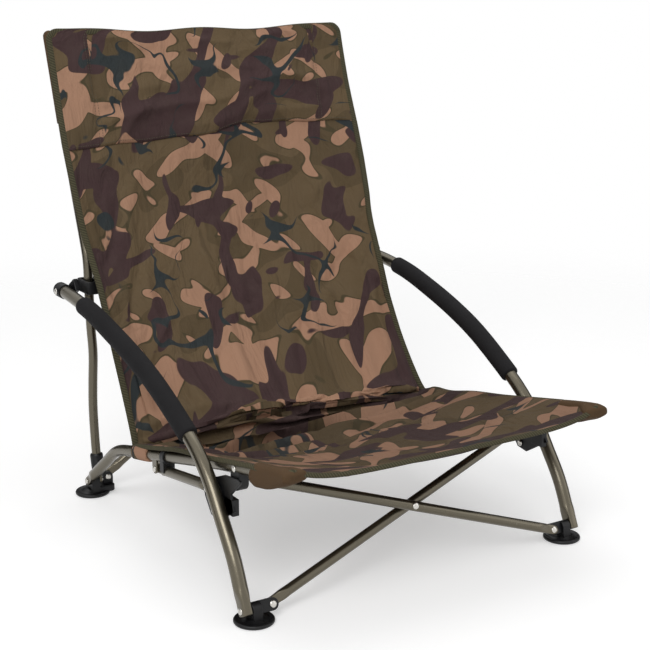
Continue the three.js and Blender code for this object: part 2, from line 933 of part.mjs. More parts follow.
const creaseSag = 12;
const seatSag = 52;
const frontSag = 29;
const topSag = 10;
const topDrop = 7;
const backSag = 58;
const creaseGap = 5;
const frontPower = 6;
const backPower = 1;
const backHeldShare = 0.888;
const seatHeldShare = 0.95;
const layerClear = 2.4;
const backFullShare = 0.4;
const backTuckShare = 0.15;

// Wrinkles near the crease: height, the share they fade over, and their waves along and across
const wrinkleHeight = 3.5;
const seatWrinkleShares = { fade: 0.16, along: 46, across: 1.2 };
const backWrinkleShares = { fade: 0.1, along: 70, across: 1.5 };

const seatEdge = edgeCurve(seatEdgeShares, creaseY, creaseZ, seatFrontY, seatFrontZ);
const backEdge = edgeCurve(backEdgeShares, creaseY, creaseZ, backTopY, backTopZ);

function clampShare(v) {
  return Math.min(1, Math.max(0, v));
}

function extended(curve, v) {
  const base = curve.getPointAt(clampShare(v));
  if (v < 0 || v > 1) {
    base.addScaledVector(curve.getTangentAt(clampShare(v)), (v - clampShare(v)) * curve.getLength());
  }
  return base;
}

function wrinkles(u, v, shares) {
  return wrinkleHeight * Math.exp(-v / shares.fade) * Math.sin(v * shares.along + u * shares.across);
}

function seatSurface(u, v) {
  const edge = extended(seatEdge, v);
  const belly = Math.max(0, 1 - (u / seatHeldShare) ** 2);
  const sag = creaseSag * (1 - v) + seatSag * Math.sin(Math.PI * clampShare(v));
  const depth = (sag - wrinkles(u, v, seatWrinkleShares)) * belly;
  const front = frontSag * v * v * Math.max(0, 1 - Math.abs(u) ** frontPower);
  return point(seatHalfWidth * u, edge.y + creaseSag * (1 - v) * belly, edge.z - depth - front);
}

function backSurface(u, v) {
  const edge = extended(backEdge, v);
  const belly = Math.max(0, 1 - (u / backHeldShare) ** 2) ** backPower;
  const depth = creaseSag * (1 - v) + topSag * v + backSag * Math.sin(Math.PI * clampShare(v));
  const width = seatHalfWidth + (backHalfWidth - seatHalfWidth) * Math.min(1, clampShare(v) / backFullShare);
  const drop = creaseSag * Math.max(0, 1 - v / backTuckShare) + topDrop * clampShare(v) ** frontPower;
  const back = edge.y + (depth + wrinkles(u, v, backWrinkleShares)) * belly;
  return point(width * u, back, edge.z + creaseGap * (1 - v) - drop * belly);
}

function layerSurface(u, v) {
  const base = backSurface(u * layerWidthShare, layerSeamShare + (1 - layerSeamShare) * v);
  const puff = layerPuff * Math.sin(Math.PI * clampShare(v));
  const lift = (fabricThickness + layerThickness) / 2 + layerClear + puff;
  return base.add(point(0, -lift, lift * layerLean));
}

const halfFabric = fabricThickness / 2;
const halfLayer = layerThickness / 2;

function backSheet(over, under, reach = 1) {
  return sheet((u, v) => backSurface(u * reach, v), sheetColumns, backRows, over, under);
}

function seatSheet(over, under, reach = 1) {
  const along = reach > 1 ? pocketEdgeShare : 1;
  return sheet((u, v) => seatSurface(u * reach, v * along), sheetColumns, seatRows, over, under);
}

function topPocket(side) {
  const path = uprightPath(side);
  const end = path.getPointAt(1);
  const along = path.getTangentAt(1);
  const bore = uprightRadius + pocketSlack;
  const outer = bore + pocketWall;
  const profile = [
    [bore, -topPocketLength],
    [outer, -topPocketLength],
    [outer, uprightRadius + pocketSlack],
    [0, uprightRadius + pocketSlack + pocketWall],
    [0, uprightRadius + pocketSlack],
    [bore, uprightRadius],
    [bore, -topPocketLength],
  ].map(([r, h]) => new THREE.Vector2(r, h));
  const cup = new THREE.LatheGeometry(profile, 14);
  cup.rotateX(Math.PI / 2);
  return cut(place(cup, end, along, axisX), backSheet(pocketCutHeight, -halfFabric - 2 * gap, pocketCutShare));
}

function tipPocket(side) {
  const path = railPath(side);
  const end = path.getPointAt(1);
  const along = path.getTangentAt(1);
  const bore = railRadius + pocketSlack;
  const outer = bore + pocketWall;
  const profile = [
    [bore, -tipPocketLength],
    [outer, -tipPocketLength],
    [outer, railRadius],
    [0, railRadius + pocketWall],
    [0, railRadius],
    [bore, railRadius - pocketWall],
    [bore, -tipPocketLength],
  ].map(([r, h]) => new THREE.Vector2(r, h));
  const cup = new THREE.LatheGeometry(profile, 14);
  cup.rotateX(Math.PI / 2);
  return cut(place(cup, end, along, axisX), seatSheet(halfFabric + 2 * gap, -pocketCutHeight, pocketCutShare));
}

function creaseTab(side) {
  const path = railPath(side);
  const stretch = new CurveStretch(path, railPointAt(side, tabStartY), railPointAt(side, tabEndY));
  return hollowTube(stretch, railRadius + sleeveSlack + tabWall, tabWall, 4, 14);
}

for (const [side, word] of [
  [-1, "left"],
  [1, "right"],
]) {
  addPiece(`leg_arm_tube_${word}`, "tube", legTube(side));
  addPiece(`arm_foam_grip_${word}`, "foam", foamGrip(side));
  addPiece(`arm_end_plug_${word}`, "plastic", endPlug(side));
  addPiece(`leg_bracket_${word}`, "plastic", legBracket(side));
  addPiece(`bracket_pivot_rivet_${word}`, "rivet", bracketPivotRivet(side));
  addPiece(`bracket_low_rivet_${word}`, "rivet", bracketLowRivet(side));
  addPiece(`front_foot_${word}`, "plastic", frontFoot(side));
  addPiece(`front_leg_rivet_${word}`, "rivet", frontLegRivet(side));
  addPiece(`front_lug_rivet_${word}`, "rivet", frontLugRivet(side));
  addPiece(`rear_foot_${word}`, "plastic", rearFoot(side));
  addPiece(`rear_frame_rivet_${word}`, "rivet", rearFrameRivet(side));
  addPiece(`rear_lug_rivet_${word}`, "rivet", rearLugRivet(side));
  addPiece(`back_upright_tube_${word}`, "tube", uprightTube(side));
  addPiece(`arm_slider_${word}`, "plastic", armSlider(side));
  addPiece(`arm_end_rivet_${word}`, "rivet", armEndRivet(side));
  addPiece(`side_rail_tube_${word}`, "tube", railTube(side));
  addPiece(`seat_hub_${word}`, "plastic", seatHub(side));
  addPiece(`rail_rivet_${word}`, "rivet", railRivet(side));
  addPiece(`rail_clip_${word}`, "plastic", railClip(side));
  addPiece(`link_lug_${word}`, "tube", linkLug(side));
  addPiece(`lug_rivet_${word}`, "rivet", lugRivet(side));
  addPiece(`fold_link_${word}`, "tube", linkTube(side));
  addPiece(`front_cross_tube_${word}`, "tube", frontCross(side));
  addPiece(`rear_cross_tube_${word}`, "tube", rearCross(side));
  addPiece(`top_pocket_${word}`, "fabric", topPocket(side));
  addPiece(`corner_pocket_${word}`, "lining", tipPocket(side));
  addPiece(`crease_tab_${word}`, "fabric", creaseTab(side));
}
addPiece("front_cross_rivet", "rivet", frontCrossRivet());
addPiece("rear_cross_rivet", "rivet", rearCrossRivet());
addPiece("seat_panel", "fabric", seatSheet(halfFabric, -halfFabric));
addPiece("back_panel", "fabric", backSheet(halfFabric, -halfFabric));
addPiece("headrest_layer", "fabric", sheet(layerSurface, sheetColumns, layerRows, halfLayer, -halfLayer));

group.position.y = -originY;

export default group;
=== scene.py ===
import json
import math

import bmesh
import bpy
import numpy as np
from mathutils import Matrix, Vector, noise


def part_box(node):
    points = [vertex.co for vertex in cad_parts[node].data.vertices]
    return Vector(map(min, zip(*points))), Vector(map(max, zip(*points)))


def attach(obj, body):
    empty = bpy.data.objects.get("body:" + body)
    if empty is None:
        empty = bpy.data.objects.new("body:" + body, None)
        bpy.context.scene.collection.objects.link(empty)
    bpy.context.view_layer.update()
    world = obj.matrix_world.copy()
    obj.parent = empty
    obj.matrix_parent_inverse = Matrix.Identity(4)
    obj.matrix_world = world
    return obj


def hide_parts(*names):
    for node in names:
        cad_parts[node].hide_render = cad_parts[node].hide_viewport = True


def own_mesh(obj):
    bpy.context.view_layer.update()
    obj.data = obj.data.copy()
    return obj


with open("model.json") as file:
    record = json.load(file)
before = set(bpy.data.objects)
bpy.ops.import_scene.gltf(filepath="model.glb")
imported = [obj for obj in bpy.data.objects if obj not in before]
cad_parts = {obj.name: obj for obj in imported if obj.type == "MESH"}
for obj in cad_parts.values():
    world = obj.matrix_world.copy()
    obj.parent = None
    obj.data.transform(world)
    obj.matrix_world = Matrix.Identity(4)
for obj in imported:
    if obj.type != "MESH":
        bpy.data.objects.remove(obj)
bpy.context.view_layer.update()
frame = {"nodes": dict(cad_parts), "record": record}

scene = bpy.context.scene
sides = ((-1, "left"), (1, "right"))
print("frame loaded:", len(frame["nodes"]), "nodes")

# The frame's pivots in millimetres: along the chair and up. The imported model's origin is
# originShift further back than the origin of these lengths
pivots = {
    "originShift": 17.3,
    "footX": 290,
    "front": (-303, 22),
    "rear": (292, 27),
    "armEnd": (322, 372),
    "slider": (285, 385),
    "hub": (-246, 196),
    "bracket": (-165, 160),
    "bracketLow": (-187, 133),
    "link": (30, 130),
    "crease": (112, 152),
    "seatFront": (-385, 262),
    "backTop": (405, 812),
}

tubes = {
    "legRadius": 11, "railRadius": 9.5, "uprightRadius": 8, "crossRadius": 8, "linkRadius": 8.5,
    "legFootWidth": 22.5, "legFootDepth": 15.5, "legTipRound": 3,
    "flatWidth": 15, "flatThickness": 6, "flatLength": 17, "squashLength": 26,
    "legX": 306, "toeOut": 14, "railX": 281, "railFootX": 303, "uprightX": 287, "uprightFootX": 277,
    "crossX": 262, "linkX": 283, "outerFlatX": 301, "innerFlatX": 279,
    "frontCrossOffset": 8.5, "rearCrossNear": 13, "rearCrossFar": 30.5, "armOverhang": 12,
    "legLead": 6, "railLead": 10, "uprightLead": 8, "railTipSamples": 10, "gap": 0.3,
}
pressed = {
    "tipRings": 7, "tipStart": 0.12, "squashRings": 12, "squashLead": 2, "ringStep": 7.0, "lastGap": 4,
    "squarest": 5, "squareness": 9, "narrowest": 0.4, "lipRun": 1.2, "lipDepth": 0.5,
}

# Centre lines as shares: across, along the chair, up
legShares = [
    (0, 0.05, 0.189), (0, 0.107, 0.331), (0, 0.165, 0.466), (0, 0.232, 0.571), (0.1, 0.298, 0.643),
    (0.35, 0.435, 0.769), (0.55, 0.55, 0.846), (0.75, 0.672, 0.909), (0.9, 0.789, 0.96),
    (1, 0.904, 0.989), (1, 1, 1),
]
railShares = [
    (0.55, 0.098, 0.241), (0.42, 0.165, 0.389), (0.3, 0.24, 0.459), (0.12, 0.345, 0.523),
    (0, 0.54, 0.664), (0, 0.69, 0.773), (0, 0.81, 0.85), (0, 0.92, 0.92), (0, 1, 0.965),
]
uprightShares = [
    (0.1, 0.105, 0.05), (0.2, 0.12, 0.1), (0.3, 0.118, 0.17), (0.4, 0.065, 0.228), (0.55, -0.02, 0.3),
    (0.9, -0.05, 0.365), (1, -0.056, 0.456), (1, -0.04, 0.513), (1, 0.056, 0.56), (1, 0.175, 0.608),
    (1, 0.367, 0.688), (1, 0.597, 0.78), (1, 0.822, 0.884), (1, 1.04, 0.983),
]
seatEdgeShares = [
    (0, 0), (0.11, 0.12), (0.22, 0.25), (0.34, 0.39), (0.51, 0.53), (0.67, 0.68), (0.83, 0.83), (1, 1),
]
backEdgeShares = [
    (0, 0), (0.055, 0.04), (0.17, 0.123), (0.315, 0.235), (0.443, 0.352), (0.585, 0.468), (0.635, 0.532),
    (0.715, 0.626), (0.81, 0.732), (0.9, 0.838), (0.992, 0.975), (1.0, 1.0),
]

acrossWay, alongWay, upWay = (1, 0, 0), (0, 1, 0), (0, 0, 1)


def unit(v):
    v = np.array(v, float)
    return v / np.linalg.norm(v)


def unitRows(rows):
    return rows / np.linalg.norm(rows, axis=-1)[..., None]
def hinge(name, x):
    y, z = pivots[name]
    return np.array((x, y, z), float)


def along(start, end, share):
    return start + share * (end - start)
def smoothStep(value, low, high):
    s = np.clip((value - low) / (high - low), 0, 1)
    return s * s * (3 - 2 * s)


# Angles round a circle, and from nothing to a quarter of one
def turns(count, ahead=0.5):
    return 2 * math.pi * (np.arange(count) + ahead) / count


def quarter(count):
    return np.linspace(0, math.pi / 2, count)


def signedPower(value, power):
    return np.sign(value) * np.abs(value) ** power


hubWay = unit(hinge("hub", 0) - hinge("front", 0))
frontNormal = np.cross(acrossWay, hubWay)
sliderWay = unit(hinge("slider", 0) - hinge("rear", 0))
rearNormal = np.cross(sliderWay, acrossWay)


# A smooth line through points, sampled finely and evenly along its length
def smoothLine(points, count=600, between=60):
    p = np.array(points, float)
    p = np.vstack((2 * p[0] - p[1], p, 2 * p[-1] - p[-2]))
    out = []
    for i in range(1, len(p) - 2):
        a, b, c, d = p[i - 1], p[i], p[i + 1], p[i + 2]
        da, db, dc = (math.sqrt(np.linalg.norm(q)) for q in (b - a, c - b, d - c))
        tb = ((b - a) / da - (c - a) / (da + db) + (c - b) / db) * db
        tc = ((c - b) / db - (d - b) / (db + dc) + (d - c) / dc) * db
        t = np.linspace(0, 1, between, endpoint=i == len(p) - 3)[:, None]
        out.append(b + tb * t + (3 * (c - b) - 2 * tb - tc) * t**2 + (2 * (b - c) + tb + tc) * t**3)
    line = np.vstack(out)
    return pointsAt(line, np.linspace(0, runAlong(line)[-1], count))


def runAlong(line):
    return np.concatenate(([0], np.cumsum(np.linalg.norm(np.diff(line, axis=0), axis=1))))


def lineLength(line):
    return float(np.linalg.norm(np.diff(line, axis=0), axis=1).sum())


def pointsAt(line, distances):
    run = runAlong(line)
    return np.stack([np.interp(distances, run, line[:, k]) for k in range(3)], axis=1)


def ringAt(centre, x, y, across, up):
    return centre + across[:, None] * x + up[:, None] * y


# Shells are (points in millimetres, faces); a piece is one mesh of some shells
def lofted(rings, closeEnds=True):
    count = len(rings[0])
    points = np.vstack(rings)
    faces = []
    for j in range(len(rings) - 1):
        for i in range(count):
            a, b = j * count + i, j * count + (i + 1) % count
            faces.append((a, b, b + count, a + count))
    if closeEnds:
        faces.append(tuple(range(count))[::-1])
        faces.append(tuple((len(rings) - 1) * count + i for i in range(count)))
    return points, faces


def frameAlong(line, flatWay):
    tangent = unitRows(np.gradient(line, axis=0))
    way = np.array(flatWay, float)
    thin = unitRows(way - (tangent @ way)[:, None] * tangent)
    return thin, np.cross(tangent, thin)


# A tube along a line: half sizes across the flat way and along it, and the squareness, at each station
def swept(line, flatWay, halfThin, halfWide, power, sideCount=28):
    thin, wide = frameAlong(line, flatWay)
    turn = turns(sideCount)
    rings = []
    for k in range(len(line)):
        c, s = signedPower(np.cos(turn), 2 / power[k]), signedPower(np.sin(turn), 2 / power[k])
        rings.append(ringAt(line[k], wide[k], thin[k], halfWide[k] * c, halfThin[k] * s))
    return lofted(rings)


# A round tube whose start, and mostly its end too, is pressed flat and rounded
def flattenedTube(
    line, radius, flatWay, flatEnd=True,
    width=tubes["flatWidth"], thickness=tubes["flatThickness"], tipRound=tubes["flatWidth"] / 2,
):
    total = lineLength(line)
    half = width / 2
    pressedRun = tubes["flatLength"] + tubes["squashLength"]
    lip, depth = pressed["lipRun"], pressed["lipDepth"]
    tip = tipRound * (1 - np.cos(np.linspace(pressed["tipStart"], math.pi / 2, pressed["tipRings"])))
    squash = np.linspace(half + pressed["squashLead"], pressedRun, pressed["squashRings"])
    start = np.concatenate((tip, squash))
    end = start if flatEnd else np.array([0.0, lip / 2, lip])
    step = pressed["ringStep"]
    middle = np.arange(start[-1] + step, total - end[-1] - pressed["lastGap"], step)
    stations = np.concatenate((start, middle, (total - end)[::-1]))
    halfWide, halfThin, power = [], [], []
    for s in stations:
        w, h, p = radius, radius, 2.0
        for flat, d in ((True, s), (flatEnd, total - s)):
            if not flat and d < lip:
                w = h = radius - depth + depth * d / lip
            if not flat or d > pressedRun:
                continue
            t = smoothStep(d, tubes["flatLength"], pressedRun)
            w = half + (radius - half) * t
            h = thickness / 2 + (radius - thickness / 2) * t
            p = min(pressed["squarest"], 2 + pressed["squareness"] * (1 - h / radius))
            if d < tipRound:
                rounded = half - tipRound + math.sqrt(max(0, tipRound**2 - (tipRound - d) ** 2))
                w = max(pressed["narrowest"], rounded)
        halfWide.append(w)
        halfThin.append(h)
        power.append(p)
    return swept(pointsAt(line, stations), flatWay, halfThin, halfWide, power)


# A round sleeve, its radius given by the distance along it; no tube here runs along skewWay
skewWay = (0.9, 0.1, 0.3)


def roundTube(line, radiusAt, step, sideCount=28):
    total = lineLength(line)
    stations = np.linspace(0, total, max(3, int(total / step)))
    size = [radiusAt(s, total) for s in stations]
    return swept(pointsAt(line, stations), skewWay, size, size, [2.0] * len(size), sideCount)


# A turned shape: profile of (radius, height), stood on a point along an axis
def turned(profile, at, axis, count=48, least=0.02):
    z = unit(axis)
    x = unit(np.cross(z, (0.3, 0.2, 1) if abs(z[2]) < 0.8 else acrossWay))
    y = np.cross(z, x)
    turn = turns(count, 0)
    ring = np.cos(turn)[:, None] * x + np.sin(turn)[:, None] * y
    return lofted([np.array(at) + max(r, least) * ring + h * z for r, h in profile])


# A cut-out plate: an outline across two directions, pushed along the third
def plate(outline, at, first, second, depth, hole=None):
    a, b = unit(first), unit(second)
    push = np.cross(a, b)
    at = np.array(at, float)

    def ring(points, shift):
        return np.array([at + p * a + q * b + shift * push for p, q in points])

    half = depth / 2
    if hole is None:
        return lofted([ring(outline, -half), ring(outline, half)])
    rings = [ring(outline, -half), ring(outline, half), ring(hole, half), ring(hole, -half)]
    points, faces = lofted(rings, False)
    count = len(outline)
    faces += [(3 * count + i, 3 * count + (i + 1) % count, (i + 1) % count, i) for i in range(count)]
    return points, faces


def sidePlate(outline, at, depth):
    return plate(outline, at, alongWay, upWay, depth)


def cubeShell(low, high):
    (x0, x1), (y0, y1), (z0, z1) = (sorted(pair) for pair in zip(low, high))
    outline = [(x0, y0), (x1, y0), (x1, y1), (x0, y1)]
    return plate(outline, (0, 0, (z0 + z1) / 2), acrossWay, alongWay, z1 - z0)


def roundedOutline(low, high, radius, steps=5):
    points = []
    for cx, cy, start in (
        (high[0] - radius, high[1] - radius, 0), (low[0] + radius, high[1] - radius, 90),
        (low[0] + radius, low[1] + radius, 180), (high[0] - radius, low[1] + radius, 270),
    ):
        for k in range(steps):
            a = math.radians(start + 90 * k / (steps - 1))
            points.append((cx + radius * math.cos(a), cy + radius * math.sin(a)))
    return points


# A bar with a round end about its pivot, and an arch round a pivot, closed at a level
def tagOutline(width, length, steps=12):
    r = width / 2
    arc = [(-r * math.sin(a), r * math.cos(a)) for a in np.linspace(0, math.pi, steps)]
    return [(length, r)] + arc + [(length, -r)]


def archOutline(r, level, steps, way=-1, spread=0.0):
    arc = [(r * math.cos(a), way * r * math.sin(a)) for a in np.linspace(0, math.pi, steps)]
    return arc + [(-r - spread, level), (r + spread, level)]


edges = {"segments": 3, "angle": 38}

def piece(name, shells, material, body, nodes=(), bevel=0.0, uvs=None, smoothAngle=40):
    points, faces = [], []
    for shellPoints, shellFaces in shells:
        base = len(points)
        points.extend(map(tuple, shellPoints))
        faces.extend(tuple(i + base for i in face) for face in shellFaces)
    shift = np.array((0, pivots["originShift"], 0))
    co = (np.array(points, float) - shift) / 1000
    mesh = bpy.data.meshes.new(name)
    mesh.from_pydata(co.tolist(), [], faces)
    mesh.validate()
    mesh.update()
    obj = bpy.data.objects.new(name, mesh)
    scene.collection.objects.link(obj)
    fixNormals(mesh)
    mesh.polygons.foreach_set("use_smooth", [True] * len(mesh.polygons))
    mesh.set_sharp_from_angle(angle=math.radians(smoothAngle))
    if uvs is not None:
        layer = mesh.uv_layers.new(name="cloth")
        corner = np.zeros(len(mesh.loops), int)
        mesh.loops.foreach_get("vertex_index", corner)
        layer.data.foreach_set("uv", np.array(uvs, float)[corner].ravel())
    mesh.materials.append(material)
    if bevel:
        mod = obj.modifiers.new("rounded edges", "BEVEL")
        mod.width = bevel
        mod.segments = edges["segments"]
        mod.limit_method = "ANGLE"
        mod.angle_limit = math.radians(edges["angle"])
        mod.harden_normals = False
    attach(obj, body)
    if nodes:
        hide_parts(*nodes)
    return obj


def fixNormals(mesh):
    b = bmesh.new()
    b.from_mesh(mesh)
    bmesh.ops.recalc_face_normals(b, faces=b.faces)
    b.to_mesh(mesh)
    b.free()
def sidePiece(word, name, shells, material, body, node=None, bevel=0.0, **extra):
    nodes = [f"{node}_{word}"] if node else ()
    return piece(f"{name}_{word}", shells, material, f"{body}_{word}", nodes, bevel, **extra)
# Finishes
finishes = {
    "tubeColour": (0.118, 0.103, 0.074, 1), "tubeFlake": (0.215, 0.190, 0.143, 1),
    "tubeCloud": (0.10, 0.088, 0.060, 1), "tubeRubbed": (0.33, 0.31, 0.27, 1),
    "rivetColour": (0.62, 0.60, 0.56, 1), "rivetTarnish": (0.30, 0.28, 0.25, 1),
    "plasticColour": (0.0050, 0.0050, 0.0056, 1), "plasticDust": (0.035, 0.034, 0.032, 1),
    "foamColour": (0.0095, 0.0090, 0.0098, 1), "foamLight": (0.0165, 0.0158, 0.0168, 1),
    "printBase": (0.117, 0.079, 0.040, 1), "printOlive": (0.090, 0.061, 0.030, 1),
    "printBaseDark": (0.060, 0.045, 0.021, 1), "printTan": (0.372, 0.208, 0.132, 1),
    "printBrown": (0.050, 0.026, 0.026, 1), "printSlate": (0.021, 0.027, 0.029, 1),
    "printPaintedShade": (0.012, 0.009, 0.006, 1), "printWorn": (0.150, 0.125, 0.095, 1),
    "tapeColour": (0.105, 0.093, 0.050, 1), "tapeGrooveShade": (0.034, 0.031, 0.016, 1),
    "tapeWorn": (0.10, 0.088, 0.05, 1), "cardColour": (0.01, 0.01, 0.01, 1),
    "liningColour": (0.094, 0.054, 0.026, 1), "liningDark": (0.062, 0.038, 0.020, 1),
    "threadDark": (0.040, 0.034, 0.020, 1), "threadColour": (0.095, 0.080, 0.050, 1),
}

# Scales are per metre, bump distances and the pitch of threads in metres
weave = {"print": 0.0011, "tape": 0.0012, "lining": 0.0013, "rib": 0.0048, "ribSlant": 0.7}
# Noise by scale, detail and distortion, and the two levels between which a noise turns into a mask
grains = {
    "flake": (2600, 1), "tubeCloud": (16, 4), "rub": (90, 5, 0.6), "tubeGrain": (1400, 2),
    "scratch": (700, 3), "tarnish": (220, 4), "plasticGrain": (1900, 3), "dust": (60, 6, 0.8),
    "foamCloud": (30, 5), "foamGrain": (2600, 2), "worn": (26, 4), "fuzz": (1500, 2),
    "crumple": (30, 3, 0.8), "tapeCloud": (60, 4), "liningCloud": (30, 4), "liningFuzz": (400, 2),
    "twist": (2400, 2),
}
levels = {
    "flake": (0.45, 0.75), "rub": (0.66, 0.80), "tarnish": (0.5, 0.8), "dust": (0.55, 0.85),
    "worn": (0.35, 0.75), "rib": (-0.2, 0.75),
}
amounts = {
    "flake": 0.5, "tubeCloud": 0.35, "rub": 0.25, "cloudRough": 0.14, "tarnish": 0.5, "scratchRough": 0.2,
    "dust": 0.22, "dustRough": 0.2, "foamGrain": 0.8, "worn": 0.06, "rib": 0.75, "tapeCloud": 0.3,
    "ribHeight": 0.6, "lining": 0.5,
}
smoothest = {"tube": 0.21, "rivet": 0.16, "plastic": 0.42}
# Bumps by distance and strength
bumps = {
    "tube": (0.00004, 0.5), "rivet": (0.00004, 0.4), "plastic": (0.00010, 0.6), "foam": (0.00022, 0.8),
    "print": (0.00016, 0.55), "tape": (0.00028, 0.7), "lining": (0.0002, 0.6), "thread": (0.0001, 0.6),
}


class Shade:
    def __init__(self, name):
        self.material = bpy.data.materials.new(name)
        self.material.use_nodes = True
        self.tree = self.material.node_tree
        self.surface = self.tree.nodes["Principled BSDF"]

    def node(self, kind, **inputs):
        made = self.tree.nodes.new("ShaderNode" + kind)
        for key, value in inputs.items():
            self.feed(made.inputs[key.replace("_", " ")], value)
        return made

    # A value is a socket to link, the name of a finish's colour or a plain value
    def feed(self, socket, value):
        if isinstance(value, bpy.types.NodeSocket):
            self.tree.links.new(value, socket)
        else:
            socket.default_value = finishes[value] if isinstance(value, str) else value

    def math(self, operation, first, second=0.0, third=0.0):
        made = self.tree.nodes.new("ShaderNodeMath")
        made.operation = operation
        for socket, value in zip(made.inputs, (first, second, third)):
            self.feed(socket, value)
        return made.outputs[0]

    def times(self, first, second):
        return self.math("MULTIPLY", first, second)

    def plus(self, first, second):
        return self.math("ADD", first, second)

    def mix(self, share, first, second):
        made = self.tree.nodes.new("ShaderNodeMix")
        made.data_type = "RGBA"
        self.feed(made.inputs[0], share)
        self.feed(made.inputs[6], first)
        self.feed(made.inputs[7], second)
        return made.outputs[2]

    def tint(self, mask, amount, first, second):
        return self.mix(self.times(mask, amounts[amount]), first, second)

    def step(self, value, low, high):
        made = self.node("MapRange", Value=value, From_Min=low, From_Max=high)
        made.interpolation_type = "SMOOTHSTEP"
        return made.outputs[0]

    def grain(self, vector, name):
        return self.noise(vector, *grains[name])

    def mask(self, vector, name):
        return self.step(self.grain(vector, name), *levels[name])

    def noise(self, vector, scale, detail=2.0, distortion=0.0):
        made = self.node("TexNoise", Vector=vector, Scale=scale, Detail=detail, Distortion=distortion)
        return made.outputs[0]

    def place(self, vector, shift, stretch=(1, 1, 1)):
        return self.node("Mapping", Vector=vector, Location=shift, Scale=stretch).outputs[0]

    def bump(self, height, distance, strength=1.0, below=None):
        made = self.node("Bump", Height=height, Distance=distance, Strength=strength)
        if below is not None:
            self.tree.links.new(below, made.inputs["Normal"])
        return made.outputs[0]

    def objectPlace(self):
        return self.tree.nodes.new("ShaderNodeTexCoord").outputs["Object"]

    def clothPlace(self):
        made = self.tree.nodes.new("ShaderNodeUVMap")
        made.uv_map = "cloth"
        return made.outputs[0]

    def set(self, **inputs):
        for key, value in inputs.items():
            self.feed(self.surface.inputs[key.replace("_", " ")], value)


# Lacquered gunmetal steel: fine metal flake, a cloudy tone and rubbed spots
def tubeFinish():
    s = Shade("gunmetalLacquer")
    where = s.objectPlace()
    cloud = s.grain(where, "tubeCloud")
    colour = s.tint(s.mask(where, "flake"), "flake", "tubeColour", "tubeFlake")
    colour = s.tint(cloud, "tubeCloud", colour, "tubeCloud")
    colour = s.tint(s.mask(where, "rub"), "rub", colour, "tubeRubbed")
    rough = s.plus(s.times(cloud, amounts["cloudRough"]), smoothest["tube"])
    normal = s.bump(s.grain(where, "tubeGrain"), *bumps["tube"])
    s.set(Base_Color=colour, Roughness=rough, Normal=normal, Metallic=0.9, Coat_Weight=0.25)
    s.set(Coat_Roughness=0.18)
    return s.material


def rivetFinish():
    s = Shade("rivetSteel")
    where = s.objectPlace()
    scratch = s.grain(s.place(where, (0, 0, 0), (1, 6, 1)), "scratch")
    colour = s.tint(s.mask(where, "tarnish"), "tarnish", "rivetColour", "rivetTarnish")
    rough = s.plus(s.times(scratch, amounts["scratchRough"]), smoothest["rivet"])
    s.set(Base_Color=colour, Roughness=rough, Normal=s.bump(scratch, *bumps["rivet"]), Metallic=1.0)
    return s.material


def plasticFinish():
    s = Shade("mouldedBlack")
    where = s.objectPlace()
    dust = s.mask(where, "dust")
    colour = s.tint(dust, "dust", "plasticColour", "plasticDust")
    rough = s.plus(s.times(dust, amounts["dustRough"]), smoothest["plastic"])
    normal = s.bump(s.grain(where, "plasticGrain"), *bumps["plastic"])
    s.set(Base_Color=colour, Roughness=rough, Normal=normal, Specular_IOR_Level=0.32)
    return s.material


def foamFinish():
    s = Shade("armFoam")
    where = s.objectPlace()
    cells = s.node("TexVoronoi", Vector=where, Scale=900.0).outputs[0]
    colour = s.mix(s.grain(where, "foamCloud"), "foamColour", "foamLight")
    fine = s.times(s.grain(where, "foamGrain"), amounts["foamGrain"])
    normal = s.bump(s.plus(cells, fine), *bumps["foam"])
    s.set(Base_Color=colour, Roughness=0.85, Normal=normal, Specular_IOR_Level=0.16)
    return s.material


# Polyester weave: two sets of threads crossing, in the cloth's own flat lay
def weaveHeight(s, cloth, pitch):
    apart = s.node("SeparateXYZ", Vector=cloth)
    turn = 2 * math.pi / pitch
    warp = s.math("SINE", s.times(apart.outputs[0], turn))
    weft = s.math("SINE", s.times(apart.outputs[1], turn))
    return s.times(warp, weft)


# Woodland print in layers: rounded tan patches, branching brown ones and tapering slate twigs.
# Each patch row: spacing per metre, how far it is drawn out, turn, place, threshold
printing = {
    "edge": 0.010, "outline": 0.022, "warp": 0.034, "warpScale": 12.0,
    "tan": [(24.0, 2.2, 0.50, (3.1, 7.7, 0), 0.609), (27.0, 2.4, -0.70, (21.3, 4.4, 0), 0.618)],
    "brown": [(21.0, 2.2, 0.10, (11.4, 2.3, 0), 0.628), (25.0, 2.4, 1.15, (8.2, 31.0, 0), 0.640)],
    "twigLine": (15.0, (5.9, 14.2, 0)), "twigReach": (10.0, (2.2, 9.9, 0)), "twigStart": 0.53,
    "twigTaper": 0.30, "olive": (13.0, 1.6, 0.9, (40.0, 13.0, 0), 0.52), "merge": 0.05,
    "crumple": (0.021, 0.6), "crumpleStretch": (1.0, 0.42, 1.0), "seatPaintedShade": 0.30,
}


